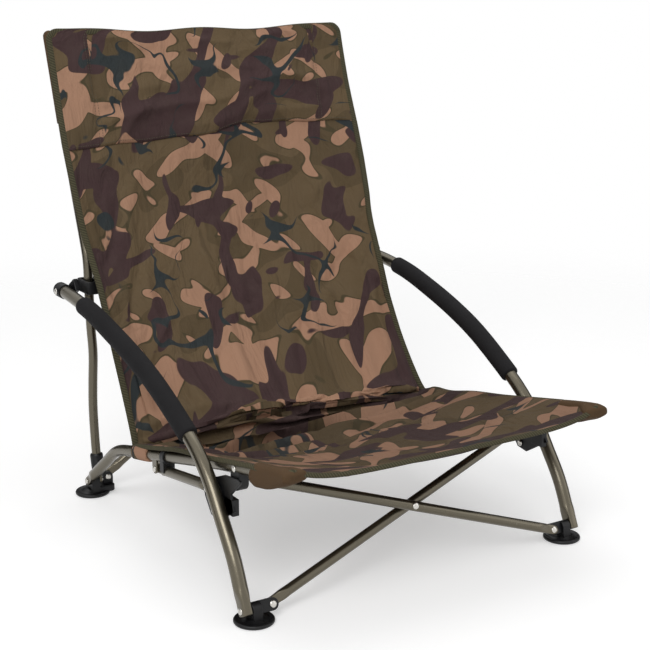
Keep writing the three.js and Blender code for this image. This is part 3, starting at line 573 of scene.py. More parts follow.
def printedCloth(name, shift, paintedShade=0.0):
    s = Shade(name)
    cloth = s.clothPlace()
    lay = s.place(cloth, shift)
    swirl = s.node("TexNoise", Vector=lay, Scale=printing["warpScale"], Detail=1.0)
    centred = s.node("VectorMath")
    centred.operation = "MULTIPLY_ADD"
    s.feed(centred.inputs[0], swirl.outputs["Color"])
    s.feed(centred.inputs[1], (printing["warp"],) * 3)
    s.feed(centred.inputs[2], lay)
    lay = centred.outputs[0]
    edge = printing["edge"]

    def field(row):
        scale, drawn, turn, place, threshold = row
        made = s.node("Mapping", Vector=lay, Location=place)
        made.vector_type = "TEXTURE"
        made.inputs["Scale"].default_value = (drawn, 1, 1)
        made.inputs["Rotation"].default_value = (0, 0, turn)
        return s.math("SUBTRACT", s.noise(made.outputs[0], scale, 0.0), threshold)

    def patches(rows):
        return s.math("SMOOTH_MAX", field(rows[0]), field(rows[1]), printing["merge"])

    colour = s.mix(s.step(field(printing["olive"]), 0, edge), "printBase", "printOlive")
    tan = patches(printing["tan"])
    outline = printing["outline"]
    colour = s.mix(s.step(tan, -outline, edge - outline), colour, "printBaseDark")
    colour = s.mix(s.step(tan, 0, edge), colour, "printTan")
    colour = s.mix(s.step(patches(printing["brown"]), 0, edge), colour, "printBrown")
    scale, place = printing["twigLine"]
    line = s.noise(s.place(lay, place), scale, 0.6, 0.5)
    scale, place = printing["twigReach"]
    reach = s.noise(s.place(lay, place), scale, 0.0)
    width = s.times(s.math("SUBTRACT", reach, printing["twigStart"]), printing["twigTaper"])
    twig = s.math("SUBTRACT", width, s.math("ABSOLUTE", s.math("SUBTRACT", line, 0.5)))
    colour = s.mix(s.step(twig, 0.0, edge), colour, "printSlate")
    colour = s.tint(s.mask(cloth, "worn"), "worn", colour, "printWorn")
    # Painted shade: the seat's copy of the print is mixed towards near-black, as though its cloth got less
    # light than the back
    colour = s.mix(paintedShade, colour, "printPaintedShade")
    threads = weaveHeight(s, cloth, weave["print"])
    crumple = s.grain(s.place(cloth, (0, 0, 0), printing["crumpleStretch"]), "crumple")
    soft = s.bump(crumple, *printing["crumple"])
    normal = s.bump(s.plus(threads, s.grain(cloth, "fuzz")), *bumps["print"], soft)
    s.set(Base_Color=colour, Roughness=0.8, Specular_IOR_Level=0.25, Normal=normal)
    return s.material


# Edge tape: a slanting twill rib across its width, with painted shade in the rib's grooves
def tapeFinish():
    s = Shade("edgeTape")
    cloth = s.clothPlace()
    apart = s.node("SeparateXYZ", Vector=cloth)
    slant = s.plus(apart.outputs[0], s.times(apart.outputs[1], weave["ribSlant"]))
    rib = s.math("SINE", s.times(slant, 2 * math.pi / weave["rib"]))
    # Painted shade: the tape's colour goes darker where the rib is low, in its grooves
    colour = s.tint(s.step(rib, *levels["rib"]), "rib", "tapeGrooveShade", "tapeColour")
    colour = s.tint(s.grain(cloth, "tapeCloud"), "tapeCloud", colour, "tapeWorn")
    height = s.plus(s.times(rib, amounts["ribHeight"]), weaveHeight(s, cloth, weave["tape"]))
    normal = s.bump(height, *bumps["tape"])
    s.set(Base_Color=colour, Roughness=0.82, Normal=normal, Specular_IOR_Level=0.25)
    return s.material


def liningFinish():
    s = Shade("brownLining")
    cloth = s.clothPlace()
    colour = s.tint(s.grain(cloth, "liningCloud"), "lining", "liningColour", "liningDark")
    height = s.plus(weaveHeight(s, cloth, weave["lining"]), s.grain(cloth, "liningFuzz"))
    normal = s.bump(height, *bumps["lining"])
    s.set(Base_Color=colour, Roughness=0.85, Normal=normal, Specular_IOR_Level=0.2)
    return s.material


def threadFinish():
    s = Shade("sewingThread")
    twist = s.grain(s.objectPlace(), "twist")
    colour = s.mix(twist, "threadDark", "threadColour")
    s.set(Base_Color=colour, Roughness=0.7, Normal=s.bump(twist, *bumps["thread"]))
    return s.material


lacquer, rivetSteel, black, foam = tubeFinish(), rivetFinish(), plasticFinish(), foamFinish()
# The seat's print is the same print made darker: painted shade
seatPrint = printedCloth("seatPrint", (1.7, 0.4, 0), printing["seatPaintedShade"])
backPrint = printedCloth("backPrint", (0.2, 2.9, 0))
layerPrint = printedCloth("headrestPrint", (0.9, 6.1, 0))
tape, lining, thread = tapeFinish(), liningFinish(), threadFinish()
print("finishes made")


# Camera at the photograph's place and view
cameraPlace = {
    "position": (-1.1674, -1.9324, 0.9089), "turn": -31.69, "down": 14.282, "lens": 76.89, "sensor": 36.0,
    "shift": 0.0004,
}
camera = bpy.data.objects.new("viewCamera", bpy.data.cameras.new("viewCamera"))
camera.data.lens = cameraPlace["lens"]
camera.data.sensor_width = cameraPlace["sensor"]
camera.data.shift_x = cameraPlace["shift"]
camera.data.shift_y = -cameraPlace["shift"]
camera.location = cameraPlace["position"]
camera.rotation_euler = (math.radians(90 - cameraPlace["down"]), 0, math.radians(cameraPlace["turn"]))
scene.collection.objects.link(camera)
scene.camera = camera
scene.view_settings.view_transform = "Standard"

lamps = {
    "key": {"at": (-2.2, -2.2, 2.6), "size": 2.0, "power": 72},
    "fill": {"at": (2.6, -1.8, 1.7), "size": 2.4, "power": 12},
    "top": {"at": (0.3, 0.9, 3.0), "size": 2.6, "power": 26},
}
lampTarget = Vector((0, 0, 0.35))
for name, lamp in lamps.items():
    light = bpy.data.lights.new(name + "Lamp", "AREA")
    light.shape = "SQUARE"
    light.size = lamp["size"]
    light.energy = lamp["power"]
    holder = bpy.data.objects.new(name + "Lamp", light)
    holder.location = lamp["at"]
    aim = lampTarget - Vector(lamp["at"])
    holder.rotation_euler = aim.to_track_quat("-Z", "Y").to_euler()
    scene.collection.objects.link(holder)

surround = {"soft": 0.43, "seen": 1.0}


# One for the rays that see a thing directly, in a mirror or through glass, and nothing for soft light
def seenDirectly(tree):
    path = tree.nodes.new("ShaderNodeLightPath")
    seen = path.outputs["Is Camera Ray"]
    for ray in ("Is Glossy Ray", "Is Transmission Ray"):
        both = tree.nodes.new("ShaderNodeMath")
        both.operation = "MAXIMUM"
        tree.links.new(seen, both.inputs[0])
        tree.links.new(path.outputs[ray], both.inputs[1])
        seen = both.outputs[0]
    return seen


def studioWorld():
    world = bpy.data.worlds.new("studio")
    world.use_nodes = True
    tree = world.node_tree
    background = tree.nodes["Background"]
    level = tree.nodes.new("ShaderNodeMapRange")
    level.inputs["To Min"].default_value = surround["soft"]
    level.inputs["To Max"].default_value = surround["seen"]
    tree.links.new(seenDirectly(tree), level.inputs["Value"])
    tree.links.new(level.outputs[0], background.inputs["Strength"])
    background.inputs["Color"].default_value = (1, 1, 1, 1)
    scene.world = world


studioWorld()


def stageCard(name, corners, material, at, turn=0.0):
    mesh = bpy.data.meshes.new(name)
    mesh.from_pydata(corners, [], [(0, 1, 2, 3)])
    mesh.materials.append(material)
    card = bpy.data.objects.new(name, mesh)
    card.location = at
    card.rotation_euler = (0, 0, turn)
    scene.collection.objects.link(card)
    return card


floorSize = {"half": 6.0, "near": 1.05, "far": 2.6, "albedo": 0.72, "glow": 0.41, "below": 0.0004}


def floorFinish():
    s = Shade("paleFloor")
    tree = s.tree
    albedo = floorSize["albedo"]
    s.set(Base_Color=(albedo, albedo, albedo, 1), Roughness=0.9, Specular_IOR_Level=0.1)
    s.set(Emission_Color=(1, 1, 1, 1), Emission_Strength=s.times(seenDirectly(tree), floorSize["glow"]))
    distance = s.node("VectorMath", Vector=s.objectPlace())
    distance.operation = "LENGTH"
    fade = s.step(distance.outputs["Value"], floorSize["near"], floorSize["far"])
    clear = tree.nodes.new("ShaderNodeBsdfTransparent")
    blend = tree.nodes.new("ShaderNodeMixShader")
    for socket, value in zip(blend.inputs, (fade, s.surface.outputs[0], clear.outputs[0])):
        tree.links.new(value, socket)
    tree.links.new(blend.outputs[0], tree.nodes["Material Output"].inputs["Surface"])
    return s.material


half = floorSize["half"]
floorCorners = [(-half, -half, 0), (half, -half, 0), (half, half, 0), (-half, half, 0)]
stageCard("studioFloor", floorCorners, floorFinish(), (0, 0, -floorSize["below"]))

# Dark cards that only the metal's reflections see, as a photographer sets them beside shiny tubes
cards = [
    {"at": (3.0, 0.6, 0.9), "width": 4.2, "height": 2.0},
    {"at": (0.6, 3.2, 0.9), "width": 4.6, "height": 2.0},
    {"at": (-2.9, 1.7, 0.9), "width": 2.6, "height": 2.0},
]
for number, card in enumerate(cards):
    w, h = card["width"] / 2, card["height"] / 2
    s = Shade(f"cardBlack{number}")
    s.set(Base_Color="cardColour", Roughness=1.0)
    facing = math.atan2(card["at"][1], card["at"][0]) + math.pi / 2
    corners = [(-w, 0, -h), (w, 0, -h), (w, 0, h), (-w, 0, h)]
    obj = stageCard(f"darkCard{number}", corners, s.material, card["at"], facing)
    for ray in ("camera", "diffuse", "shadow", "transmission"):
        setattr(obj, "visible_" + ray, False)
print("camera, lamps and floor set")


# Rivets: a domed head on each face of a short shank
rivet = {"headRadius": 5.5, "headHeight": 2.4, "shankRadius": 3.0, "collar": 0.5}


def rivetShell(centre, axis, length):
    r, h, c = rivet["headRadius"], rivet["headHeight"], rivet["collar"]
    dome = [(r * math.cos(a), c + (h - c) * math.sin(a)) for a in quarter(7)]
    half = length / 2 - h
    upper = [(rivet["shankRadius"], 0), (r, 0)] + dome
    profile = [(a, -half - b) for a, b in upper][::-1] + [(a, half + b) for a, b in upper]
    return turned(profile, centre, axis, 24)


def axisLength(low, high, axis, radius):
    size = (high - low) * 1000
    k = int(np.argmax(np.abs(axis)))
    return (size[k] - 2 * radius * math.sqrt(max(0, 1 - axis[k] ** 2))) / abs(axis[k])


# Name, axis and how much further its outer head stands out
rivetTable = [
    ("bracket_pivot_rivet", acrossWay, 0), ("bracket_low_rivet", acrossWay, 0),
    ("front_leg_rivet", acrossWay, 9.6), ("front_lug_rivet", frontNormal, 0),
    ("rear_frame_rivet", acrossWay, 0), ("rear_lug_rivet", rearNormal, 0),
    ("arm_end_rivet", acrossWay, 0), ("rail_rivet", acrossWay, 0), ("lug_rivet", acrossWay, 0),
]
bodyOf = {node: body for body, nodes in frame["record"]["behaviour"]["bodies"].items() for node in nodes}


def makeRivet(node, axis, outward=0):
    low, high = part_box(node)
    centre = np.array((low + high) / 2) * 1000 + np.array((outward / 2, pivots["originShift"], 0))
    axis = unit(axis)
    length = axisLength(np.array(low), np.array(high), axis, rivet["shankRadius"]) + abs(outward)
    shell = rivetShell(centre, axis, length)
    piece(node + "_head", [shell], rivetSteel, bodyOf[node], [node], smoothAngle=50)


for side, word in sides:
    for name, axis, outward in rivetTable:
        makeRivet(f"{name}_{word}", axis, side * outward)
makeRivet("front_cross_rivet", frontNormal)
makeRivet("rear_cross_rivet", rearNormal)
print("rivets made")


# Tubes of the frame: a lead out of the foot's pressed end, then the rows of shares
def bentLine(foot, lead, far, side, nearX, spread, rows, last=()):
    points = [
        (side * (nearX + outward * spread), along(foot[1], far[0], y), along(foot[2], far[1], z))
        for outward, y, z in rows
    ]
    way = unit(np.array(points[0]) - foot)
    return smoothLine([foot - way * tubes["flatWidth"] / 2, foot + way * lead, *points, *last])


def legLine(side):
    foot = hinge("front", side * tubes["legX"])
    y, z = pivots["armEnd"]
    last = (side * (tubes["legX"] + tubes["toeOut"]), y + tubes["armOverhang"], z)
    return bentLine(
        foot, tubes["legLead"], (y, z), side, tubes["legX"], tubes["toeOut"], legShares, [last]
    )


def railLine(side):
    foot = hinge("rear", side * tubes["outerFlatX"])
    y, z = pivots["seatFront"]
    spread = tubes["railFootX"] - tubes["railX"]
    far = (y, z - tubes["railRadius"])
    return bentLine(foot, tubes["railLead"], far, side, tubes["railX"], spread, railShares)


def uprightLine(side):
    foot = hinge("rear", side * tubes["innerFlatX"])
    y, z = pivots["backTop"]
    spread = tubes["uprightX"] - tubes["uprightFootX"]
    far = (y + tubes["uprightRadius"], z)
    return bentLine(foot, tubes["uprightLead"], far, side, tubes["uprightFootX"], spread, uprightShares)


def straightTube(start, end, radius, flatWay):
    way = unit(end - start) * tubes["flatWidth"] / 2
    line = np.linspace(start - way, end + way, 200)
    return flattenedTube(line, radius, flatWay)


# A crossed tube goes from a pivot on its own side to one on the other side, off that plane by a shift
def crossTube(side, low, high, offset, normal):
    shift = offset * normal
    start, end = hinge(low, side * tubes["crossX"]), hinge(high, -side * tubes["crossX"])
    return straightTube(start + shift, end + shift, tubes["crossRadius"], normal)


def rearPlane(side):
    return tubes["rearCrossNear"] if side < 0 else tubes["rearCrossFar"]


# A black cuff closes each upright just above its foot
cuffPlace = {"start": 22, "end": 54, "radius": 11.5, "edge": 1.2, "edgeRun": 2, "ringStep": 2.0}


def cuffRadius(s, total):
    return cuffPlace["radius"] - cuffPlace["edge"] * max(0, 1 - min(s, total - s) / cuffPlace["edgeRun"])


for side, word in sides:
    leg, rail, upright = legLine(side), railLine(side), uprightLine(side)
    legTube = flattenedTube(
        leg, tubes["legRadius"], acrossWay, False,
        tubes["legFootWidth"], tubes["legFootDepth"], tubes["legTipRound"],
    )
    sidePiece(word, "leg_arm_tube_bent", [legTube], lacquer, "leg", "leg_arm_tube")
    railTube = flattenedTube(rail[:-tubes["railTipSamples"]], tubes["railRadius"], acrossWay, False)
    sidePiece(word, "side_rail_bent", [railTube], lacquer, "rail", "side_rail_tube")
    uprightTube = flattenedTube(upright, tubes["uprightRadius"], acrossWay, False)
    sidePiece(word, "back_upright_bent", [uprightTube], lacquer, "upright", "back_upright_tube")
    front = crossTube(side, "front", "hub", side * tubes["frontCrossOffset"], frontNormal)
    sidePiece(word, "front_cross_pressed", [front], lacquer, "front_cross", "front_cross_tube")
    rear = crossTube(side, "rear", "slider", rearPlane(side), rearNormal)
    sidePiece(word, "rear_cross_pressed", [rear], lacquer, "rear_cross", "rear_cross_tube")
    linkX = side * tubes["linkX"]
    link = straightTube(hinge("bracket", linkX), hinge("link", linkX), tubes["linkRadius"], acrossWay)
    sidePiece(word, "fold_link_pressed", [link], lacquer, "link", "fold_link")
    sleeveLine = pointsAt(upright, np.linspace(cuffPlace["start"], cuffPlace["end"], 12))
    cuff = roundTube(sleeveLine, cuffRadius, cuffPlace["ringStep"])
    sidePiece(word, "upright_foot_cuff", [cuff], black, "upright")
print("tubes made")


# Foam on the arms: a thick sleeve with rounded ends, a little full between them
armFoam = {
    "radius": 15.5, "start": 10 / 29, "end": 25 / 29, "endRound": 4.0, "endFall": 0.8, "fullness": 0.5,
    "bareFoot": 18, "ringStep": 1.6, "sides": 40,
}
plug = {
    "radius": 13, "length": 26, "inner": 11.8, "round": 2.5, "stand": 2.3, "mouth": 0.4, "mouthRun": 0.6,
    "domeRadius": 6, "domeEdge": 0.2, "dome": 0.3,
}


def foamBulge(s, total):
    d = min(s, total - s)
    r, end = armFoam["radius"], armFoam["endRound"]
    if d < end:
        k = 1 - d / end
        return r - end * armFoam["endFall"] * (1 - math.sqrt(max(0, 1 - k * k)))
    return r + armFoam["fullness"] * math.sin(math.pi * s / total)


for side, word in sides:
    leg = legLine(side)
    bare = tubes["flatWidth"] / 2 + armFoam["bareFoot"]
    reach = lineLength(leg) - bare
    stations = np.linspace(bare + armFoam["start"] * reach, bare + armFoam["end"] * reach, 300)
    sleeve = roundTube(pointsAt(leg, stations), foamBulge, armFoam["ringStep"], armFoam["sides"])
    grip = sidePiece(word, "arm_foam_sleeve", [sleeve], foam, "leg", "arm_foam_grip")
    end = hinge("armEnd", side * (tubes["legX"] + tubes["toeOut"]))
    tip = end + np.array((0, tubes["armOverhang"] + plug["stand"], 0))
    r, reach, bend = plug["radius"], plug["length"], plug["round"]
    profile = [(plug["inner"], 0), (r - plug["mouth"], 0), (r, plug["mouthRun"])]
    profile += [(r - bend * (1 - math.cos(a)), reach - bend * (1 - math.sin(a))) for a in quarter(6)]
    profile += [(plug["domeRadius"], reach + plug["domeEdge"]), (0, reach + plug["dome"])]
    cap = turned(profile, tip - np.array((0, reach, 0)), alongWay)
    sidePiece(word, "arm_end_cap", [cap], black, "leg", "arm_end_plug")
print("arm foam and end caps made")


# Feet: a round sole with a rolled rim, a block for the frame's pin and a lug for the cross tube
foot = {
    "radius": 30.5, "rim": 6.2, "hub": 15, "dome": 3.0, "blockHalf": 7.7, "blockRadius": 10,
    "blockLow": 5, "blockSpread": 1.5, "lugRadius": 9.5, "lug": 8, "frontLug": 28, "rearLug": 18,
    "frontBack": 3, "rearBack": 8, "baseRound": 8, "baseHeight": 9, "baseThick": 11, "bevel": 0.0009,
}

# The sole's section, as radius and height: in from the rim and up from the floor, in from the rim and
# about the rim's height, and out from the hub and about the rim's height
soleProfile = [(2.5, 0), (0.8, 0.7), (0, 2.2)]
rimProfile = [(0, -2), (0.8, -0.5), (2.4, 0), (4.4, -0.4), (6.0, -1.4)]
hubProfile = [(4, -1.0), (0, 1.0), (-3, 2.6)]


def soleShell(side, y):
    r, h, middle = foot["radius"], foot["rim"], foot["hub"]
    profile = [(0, 0)] + [(r - a, b) for a, b in soleProfile] + [(r - a, h + b) for a, b in rimProfile]
    profile += [(middle + a, h + b) for a, b in hubProfile] + [(0, h + foot["dome"])]
    return turned(profile, (side * pivots["footX"], y, 0), upWay, 64)


def blockShell(side, y, z):
    outline = archOutline(foot["blockRadius"], foot["blockLow"] - z, 17, 1, foot["blockSpread"])
    return sidePlate(outline, (side * pivots["footX"], y, z), 2 * foot["blockHalf"])


def lugShell(pin, way, normal, length):
    return plate(tagOutline(2 * foot["lugRadius"], length), pin, way, np.cross(normal, way), foot["lug"])


for side, word in sides:
    y, z = pivots["front"]
    pin = hinge("front", side * tubes["crossX"])
    lug = lugShell(pin, (side, 0, 0), frontNormal, foot["frontLug"])
    shells = [soleShell(side, y + foot["frontBack"]), blockShell(side, y, z), lug]
    sidePiece(word, "front_foot_moulded", shells, black, "front_foot_body", "front_foot", foot["bevel"])
    y, z = pivots["rear"]
    face = tubes["flatThickness"] / 2
    pin = hinge("rear", side * tubes["crossX"])
    pin = pin + rearNormal * (rearPlane(side) - face - tubes["gap"] - foot["lug"] / 2)
    lug = lugShell(pin, -sliderWay, rearNormal, foot["rearLug"])
    inner, outer = tubes["crossX"] - foot["lugRadius"], pivots["footX"] + foot["blockHalf"]
    x0, x1 = sorted((side * inner, side * outer))
    back = tubes["rearCrossFar"] - face - tubes["gap"]
    outline = roundedOutline((x0, y - foot["blockRadius"]), (x1, y + back), foot["baseRound"])
    base = plate(outline, (0, 0, foot["baseHeight"]), acrossWay, alongWay, foot["baseThick"])
    shells = [soleShell(side, y + foot["rearBack"]), blockShell(side, y, z), lug, base]
    sidePiece(word, "rear_foot_moulded", shells, black, "rear_foot_body", "rear_foot", foot["bevel"])
print("feet made")


# Moulded parts of the joints
slider = {
    "height": 22, "wall": 5, "side": 0.4, "frontSlack": 17, "frontWall": 3, "rearSlack": 8, "ear": 8,
    "earWidth": 22, "outerRound": 5, "boreRound": 4, "lobeIn": 2.5, "lobeHalf": 9, "lobeOver": 3,
    "lobeShort": 7.5, "bevel": 0.0012,
}
bracket = {
    "thick": 3.9, "fullness": 1.3, "bossRadius": 10, "bossEdge": 0.6, "blockDepth": 11, "blockFront": 2,
    "blockBack": 24, "blockLow": 0.6, "blockHigh": 1 / 3, "bevel": 0.0010,
}
bracketShares = [
    (0.12, 0.15), (0.06, -0.35), (-0.17, -1.0), (-0.45, -1.1), (-0.79, -0.62), (-1.08, -0.22),
    (-1.02, 0.03), (-0.95, 0.46), (-1.28, 1.1), (-1.33, 1.28), (-1.2, 1.32), (-0.7, 1.14), (-0.4, 0.85),
    (0, 0.5), (0.1, 0.38),
]
hub = {"radius": 13, "width": 17, "railCover": 2, "bevel": 0.0012}
clip = {
    "y": -5, "length": 13, "radius": 12.5, "wall": 1.6, "bore": 9.7, "edge": 0.5, "railCover": 6,
    "bevel": 0.0008,
}
linkLug = {"cheekAt": 5.15, "cheek": 3.6, "radius": 8, "railCover": 3, "bevel": 0.0006}


def railAt(rail, y):
    k = int(np.argmin(np.abs(rail[:, 1] - y)))
    return rail[k], unit(rail[min(k + 1, len(rail) - 1)] - rail[max(k - 1, 0)])


def sliderShells(side):
    y, z = pivots["slider"]
    centreX = side * tubes["uprightX"]
    innerX = tubes["uprightRadius"] + slider["side"]
    outerX = innerX + slider["wall"]
    front = y - tubes["uprightRadius"] - slider["frontSlack"]
    back = y + tubes["uprightRadius"] + slider["rearSlack"]
    low, high = (centreX - outerX, front - slider["frontWall"]), (centreX + outerX, back + slider["wall"])
    outline = roundedOutline(low, high, slider["outerRound"])
    bore = roundedOutline((centreX - innerX, front), (centreX + innerX, back), slider["boreRound"])
    ring = plate(outline, (0, 0, z), acrossWay, alongWay, slider["height"], bore)
    armX = tubes["legX"] + tubes["toeOut"]
    earAt = hinge("armEnd", side * (armX - plug["radius"] - tubes["gap"] - slider["ear"] / 2))
    way = np.array((0, back - earAt[1], z - earAt[2]))
    outline = tagOutline(slider["earWidth"], np.linalg.norm(way))
    ear = plate(outline, earAt, unit(way), np.cross(acrossWay, unit(way)), slider["ear"])
    lobeBack = y + rearPlane(-side) - slider["lobeShort"]
    lobe = cubeShell(
        (centreX - side * (innerX + slider["lobeIn"]), y, z - slider["lobeHalf"]),
        (side * (tubes["crossX"] - slider["lobeOver"]), lobeBack, z + slider["lobeHalf"]),
    )
    return [ring, ear, lobe]


def bracketShells(side):
    y, z = pivots["bracket"]
    hubY = pivots["hub"][0]
    drop = z - pivots["bracketLow"][1]
    faceX = tubes["legX"] - tubes["legRadius"] - tubes["gap"]
    outline = [(y - p * (hubY - y), z + q * drop * bracket["fullness"]) for p, q in bracketShares]
    flat = sidePlate(outline, (side * (faceX - bracket["thick"] / 2), 0, 0), bracket["thick"])
    bossEnd = tubes["linkX"] + tubes["flatThickness"] / 2 + tubes["gap"]
    r, edge, height = bracket["bossRadius"], bracket["bossEdge"], faceX - bossEnd
    profile = [(0, 0), (r - edge, 0), (r, edge), (r, height), (0, height)]
    boss = turned(profile, hinge("bracket", side * bossEnd), (side, 0, 0))
    innerX = faceX - bracket["blockDepth"]
    block = cubeShell(
        (side * faceX, hubY - bracket["blockFront"], z - drop * bracket["blockLow"]),
        (side * innerX, hubY + bracket["blockBack"], z + drop * bracket["blockHigh"]),
    )
    return [flat, boss, block]


def hubShell(side, rail):
    centre = hinge("hub", side * tubes["railX"])
    top = railAt(rail, pivots["hub"][0])[0][2] - centre[2] - hub["railCover"]
    return sidePlate(archOutline(hub["radius"], top, 21), centre, hub["width"])


def clipShells(side, rail):
    onRail, way = railAt(rail, clip["y"])
    r, h, bore, edge = clip["radius"], clip["length"] / 2, clip["bore"], clip["edge"]
    profile = [(bore, -h), (r - edge, -h), (r, edge - h), (r, h - edge), (r - edge, h), (bore, h)]
    sleeve = turned(profile, onRail, way)
    (startY, startZ), (endY, endZ) = pivots["bracket"], pivots["link"]
    lower = along(startZ, endZ, (clip["y"] - startY) / (endY - startY))
    wide = tubes["linkRadius"] + clip["wall"]
    saddle = cubeShell(
        (side * (tubes["linkX"] - wide), clip["y"] - h, lower),
        (side * (tubes["linkX"] + wide), clip["y"] + h, onRail[2] - clip["railCover"]),
    )
    return [sleeve, saddle]


def cheekShells(side, rail):
    y, z = pivots["link"]
    level = railAt(rail, y)[0][2] - z - linkLug["railCover"]
    outline = archOutline(linkLug["radius"], level, 15)
    return [
        sidePlate(outline, (side * (tubes["linkX"] + at), y, z), linkLug["cheek"])
        for at in (linkLug["cheekAt"], -linkLug["cheekAt"])
    ]


for side, word in sides:
    rail = railLine(side)
    for name, shells, finish, body, node, part in (
        ("arm_slider_moulded", sliderShells(side), black, "slider", "arm_slider", slider),
        ("leg_bracket_moulded", bracketShells(side), black, "leg", "leg_bracket", bracket),
        ("seat_hub_moulded", [hubShell(side, rail)], black, "rail", "seat_hub", hub),
        ("rail_clip_moulded", clipShells(side, rail), black, "rail", "rail_clip", clip),
        ("link_lug_pressed", cheekShells(side, rail), lacquer, "rail", "link_lug", linkLug),
    ):
        sidePiece(word, name, shells, finish, body, node, part["bevel"])
print("moulded parts made")


# Cloth, in shares across (u from -1 to 1) and along (v from the crease to the far edge)
cloth = {
    "thickness": 1.8, "seatHalf": 288, "backHalf": 296, "creaseSag": 36, "seatSag": 26, "frontSag": 29,
    "topSag": 10, "backSag": 34, "creaseGap": 5, "corner": 22, "foldShare": 1.9,
    "seatCells": (170, 150), "backCells": (170, 210), "layerCells": (150, 60),
}


def edgeLine(shares, far):
    y, z = pivots["crease"]
    return smoothLine([(0, along(y, far[0], a), along(z, far[1], b)) for a, b in shares], 1200)


seatEdge = edgeLine(seatEdgeShares, pivots["seatFront"])
backEdge = edgeLine(backEdgeShares, pivots["backTop"])
seatLength, backLength = lineLength(seatEdge), lineLength(backEdge)


def onEdge(line, v):
    share = np.clip(v, 0, 1) * (len(line) - 1)
    k = np.minimum(share.astype(int), len(line) - 2)
    return line[k] + (share - k)[..., None] * (line[k + 1] - line[k])


# Folds: from (x, y) to (x, y) in millimetres on the flat cloth, width, height, bend
foldForm = {"overrun": 0.12, "fade": 0.3, "sharpness": 1.6}


def foldHeight(x, y, rows):
    total = np.zeros_like(x)
    beyond = foldForm["overrun"]
    for x0, y0, x1, y1, width, height, bend in rows:
        way = np.array((x1 - x0, y1 - y0), float)
        length = np.linalg.norm(way)
        way /= length
        run = ((x - x0) * way[0] + (y - y0) * way[1]) / length
        off = -(x - x0) * way[1] + (y - y0) * way[0]
        off = off - bend * np.sin(math.pi * np.clip(run, 0, 1))
        fade = smoothStep(np.minimum(run + beyond, 1 + beyond - run), 0, foldForm["fade"])
        total += height * fade * np.exp(-np.abs(off / width) ** foldForm["sharpness"])
    return total


def softNoise(x, y, scale, seed):
    flat = [noise.noise(Vector((a * scale, b * scale, seed))) for a, b in zip(x.ravel(), y.ravel())]
    return np.array(flat).reshape(x.shape)


seatFolds = [
    (-268, 18, 140, 36, 8, 11, 16), (-256, 46, 262, 20, 7, -9, 8), (-272, 64, 80, 70, 7, 10, 12),
    (-258, 84, 200, 56, 6, -8, -10), (-268, 98, 30, 106, 8, 8, 10), (-236, 122, 216, 98, 7, -6, -8),
    (30, 30, 278, 54, 8, 10, -12), (50, 80, 274, 76, 8, 8, 10), (-210, 142, 100, 130, 9, 4, 10),
    (90, 118, 270, 112, 8, 6, -8), (-130, 8, 210, 10, 7, 9, 5), (-278, 140, -110, 152, 10, 4.5, 8),
    (-180, 172, 70, 162, 12, 2.8, 8), (120, 160, 264, 150, 11, 3.6, 8),
    (-60, 300, 90, 470, 24, 2.6, 22), (-210, 330, -160, 500, 22, 2.8, -14),
    (160, 300, 210, 480, 24, 2.4, 14), (-120, 220, 60, 250, 20, 2.0, 10), (-270, 56, -20, 58, 6, -5, 6),
    (-240, 110, 60, 84, 6, -5, 8), (0, 66, 250, 66, 6, -5, -6), (-200, 134, 20, 116, 6, -3.5, 6),
    (40, 100, 260, 96, 6, -4, 6), (-266, 82, -80, 82, 5, 4, -4),
]
backFolds = [
    (-150, 40, -190, 300, 14, 4.6, 18), (-60, 30, -70, 330, 16, 4.8, -14),
    (20, 36, 40, 360, 16, -4.4, 12), (110, 30, 100, 330, 16, 4.8, -16),
    (190, 30, 215, 300, 14, -4.4, 10), (-110, 300, -30, 560, 22, 3.2, 20),
    (60, 320, 150, 560, 22, -3.4, -20), (-255, 60, -235, 260, 10, 4.2, 6),
    (250, 60, 245, 300, 10, 3.8, -6), (-284, 16, 60, 24, 8, 6.0, 10), (-200, 34, 220, 28, 8, -5.4, -8),
    (40, 18, 284, 34, 8, 6.0, 8), (-276, 52, -60, 48, 8, 4.6, 10), (80, 54, 276, 48, 8, 4.4, -8),
    (-30, 470, 120, 640, 26, 3.0, 12), (-240, 470, -130, 620, 22, 2.8, -12),
    (-200, 360, -150, 470, 14, 2.6, 8), (180, 380, 250, 520, 16, 2.6, -8),
    (-270, 120, -170, 330, 9, -3.4, 10), (-262, 300, -206, 420, 9, -3.0, -6),
    (-250, 90, -150, 200, 8, 3.0, 6), (-100, 120, 10, 300, 12, -2.6, -10),
    (60, 60, 150, 200, 10, -2.8, 8), (160, 200, 262, 330, 10, -2.6, -8),
    (-60, 380, 60, 470, 14, -2.0, 8), (-230, 16, -40, 60, 6, -4.0, 6), (20, 60, 230, 20, 6, -4.0, 6),
]


def cornerNarrow(v, length, halfWidth, r):
    far = np.clip((v * length - (length - r)) / r, 0, 1)
    return 1 - r * (1 - np.sqrt(np.maximum(0, 1 - far * far))) / halfWidth

def inShare(u, edge):
    return np.clip((1 - np.abs(u)) / edge, 0, 1)

# Half width of the back by height, and how the cloth's sides, top and crease depart from the edges
widths = [
    (0, 290), (0.06, 287), (0.14, 287), (0.25, 286), (0.37, 288), (0.45, 291), (0.53, 296), (0.63, 299),
    (0.72, 300), (0.85, 298), (1, 297),
]
drops = {
    "side": 5.0, "corner": 11.0, "cornerStart": 0.8, "flare": 22.0, "flarePower": 1.5,
    "seatFlareEnd": 0.12, "backFlareEnd": 0.065, "hump": 8.0, "humpAt": 0.11, "humpWide": 0.07,
    "rightPower": 8, "frontPower": 6, "sideStart": 0.955, "backPower": 1.5, "creaseEnd": 0.15,
    "top": 10.0, "topRise": 4.0, "topStart": 0.82, "topPower": 4, "topWave": 2.5, "topWaves": 9,
    "topWaveAt": 1.5, "tuck": 0.16, "tuckBack": 2.2, "tuckDown": -7.0,
}


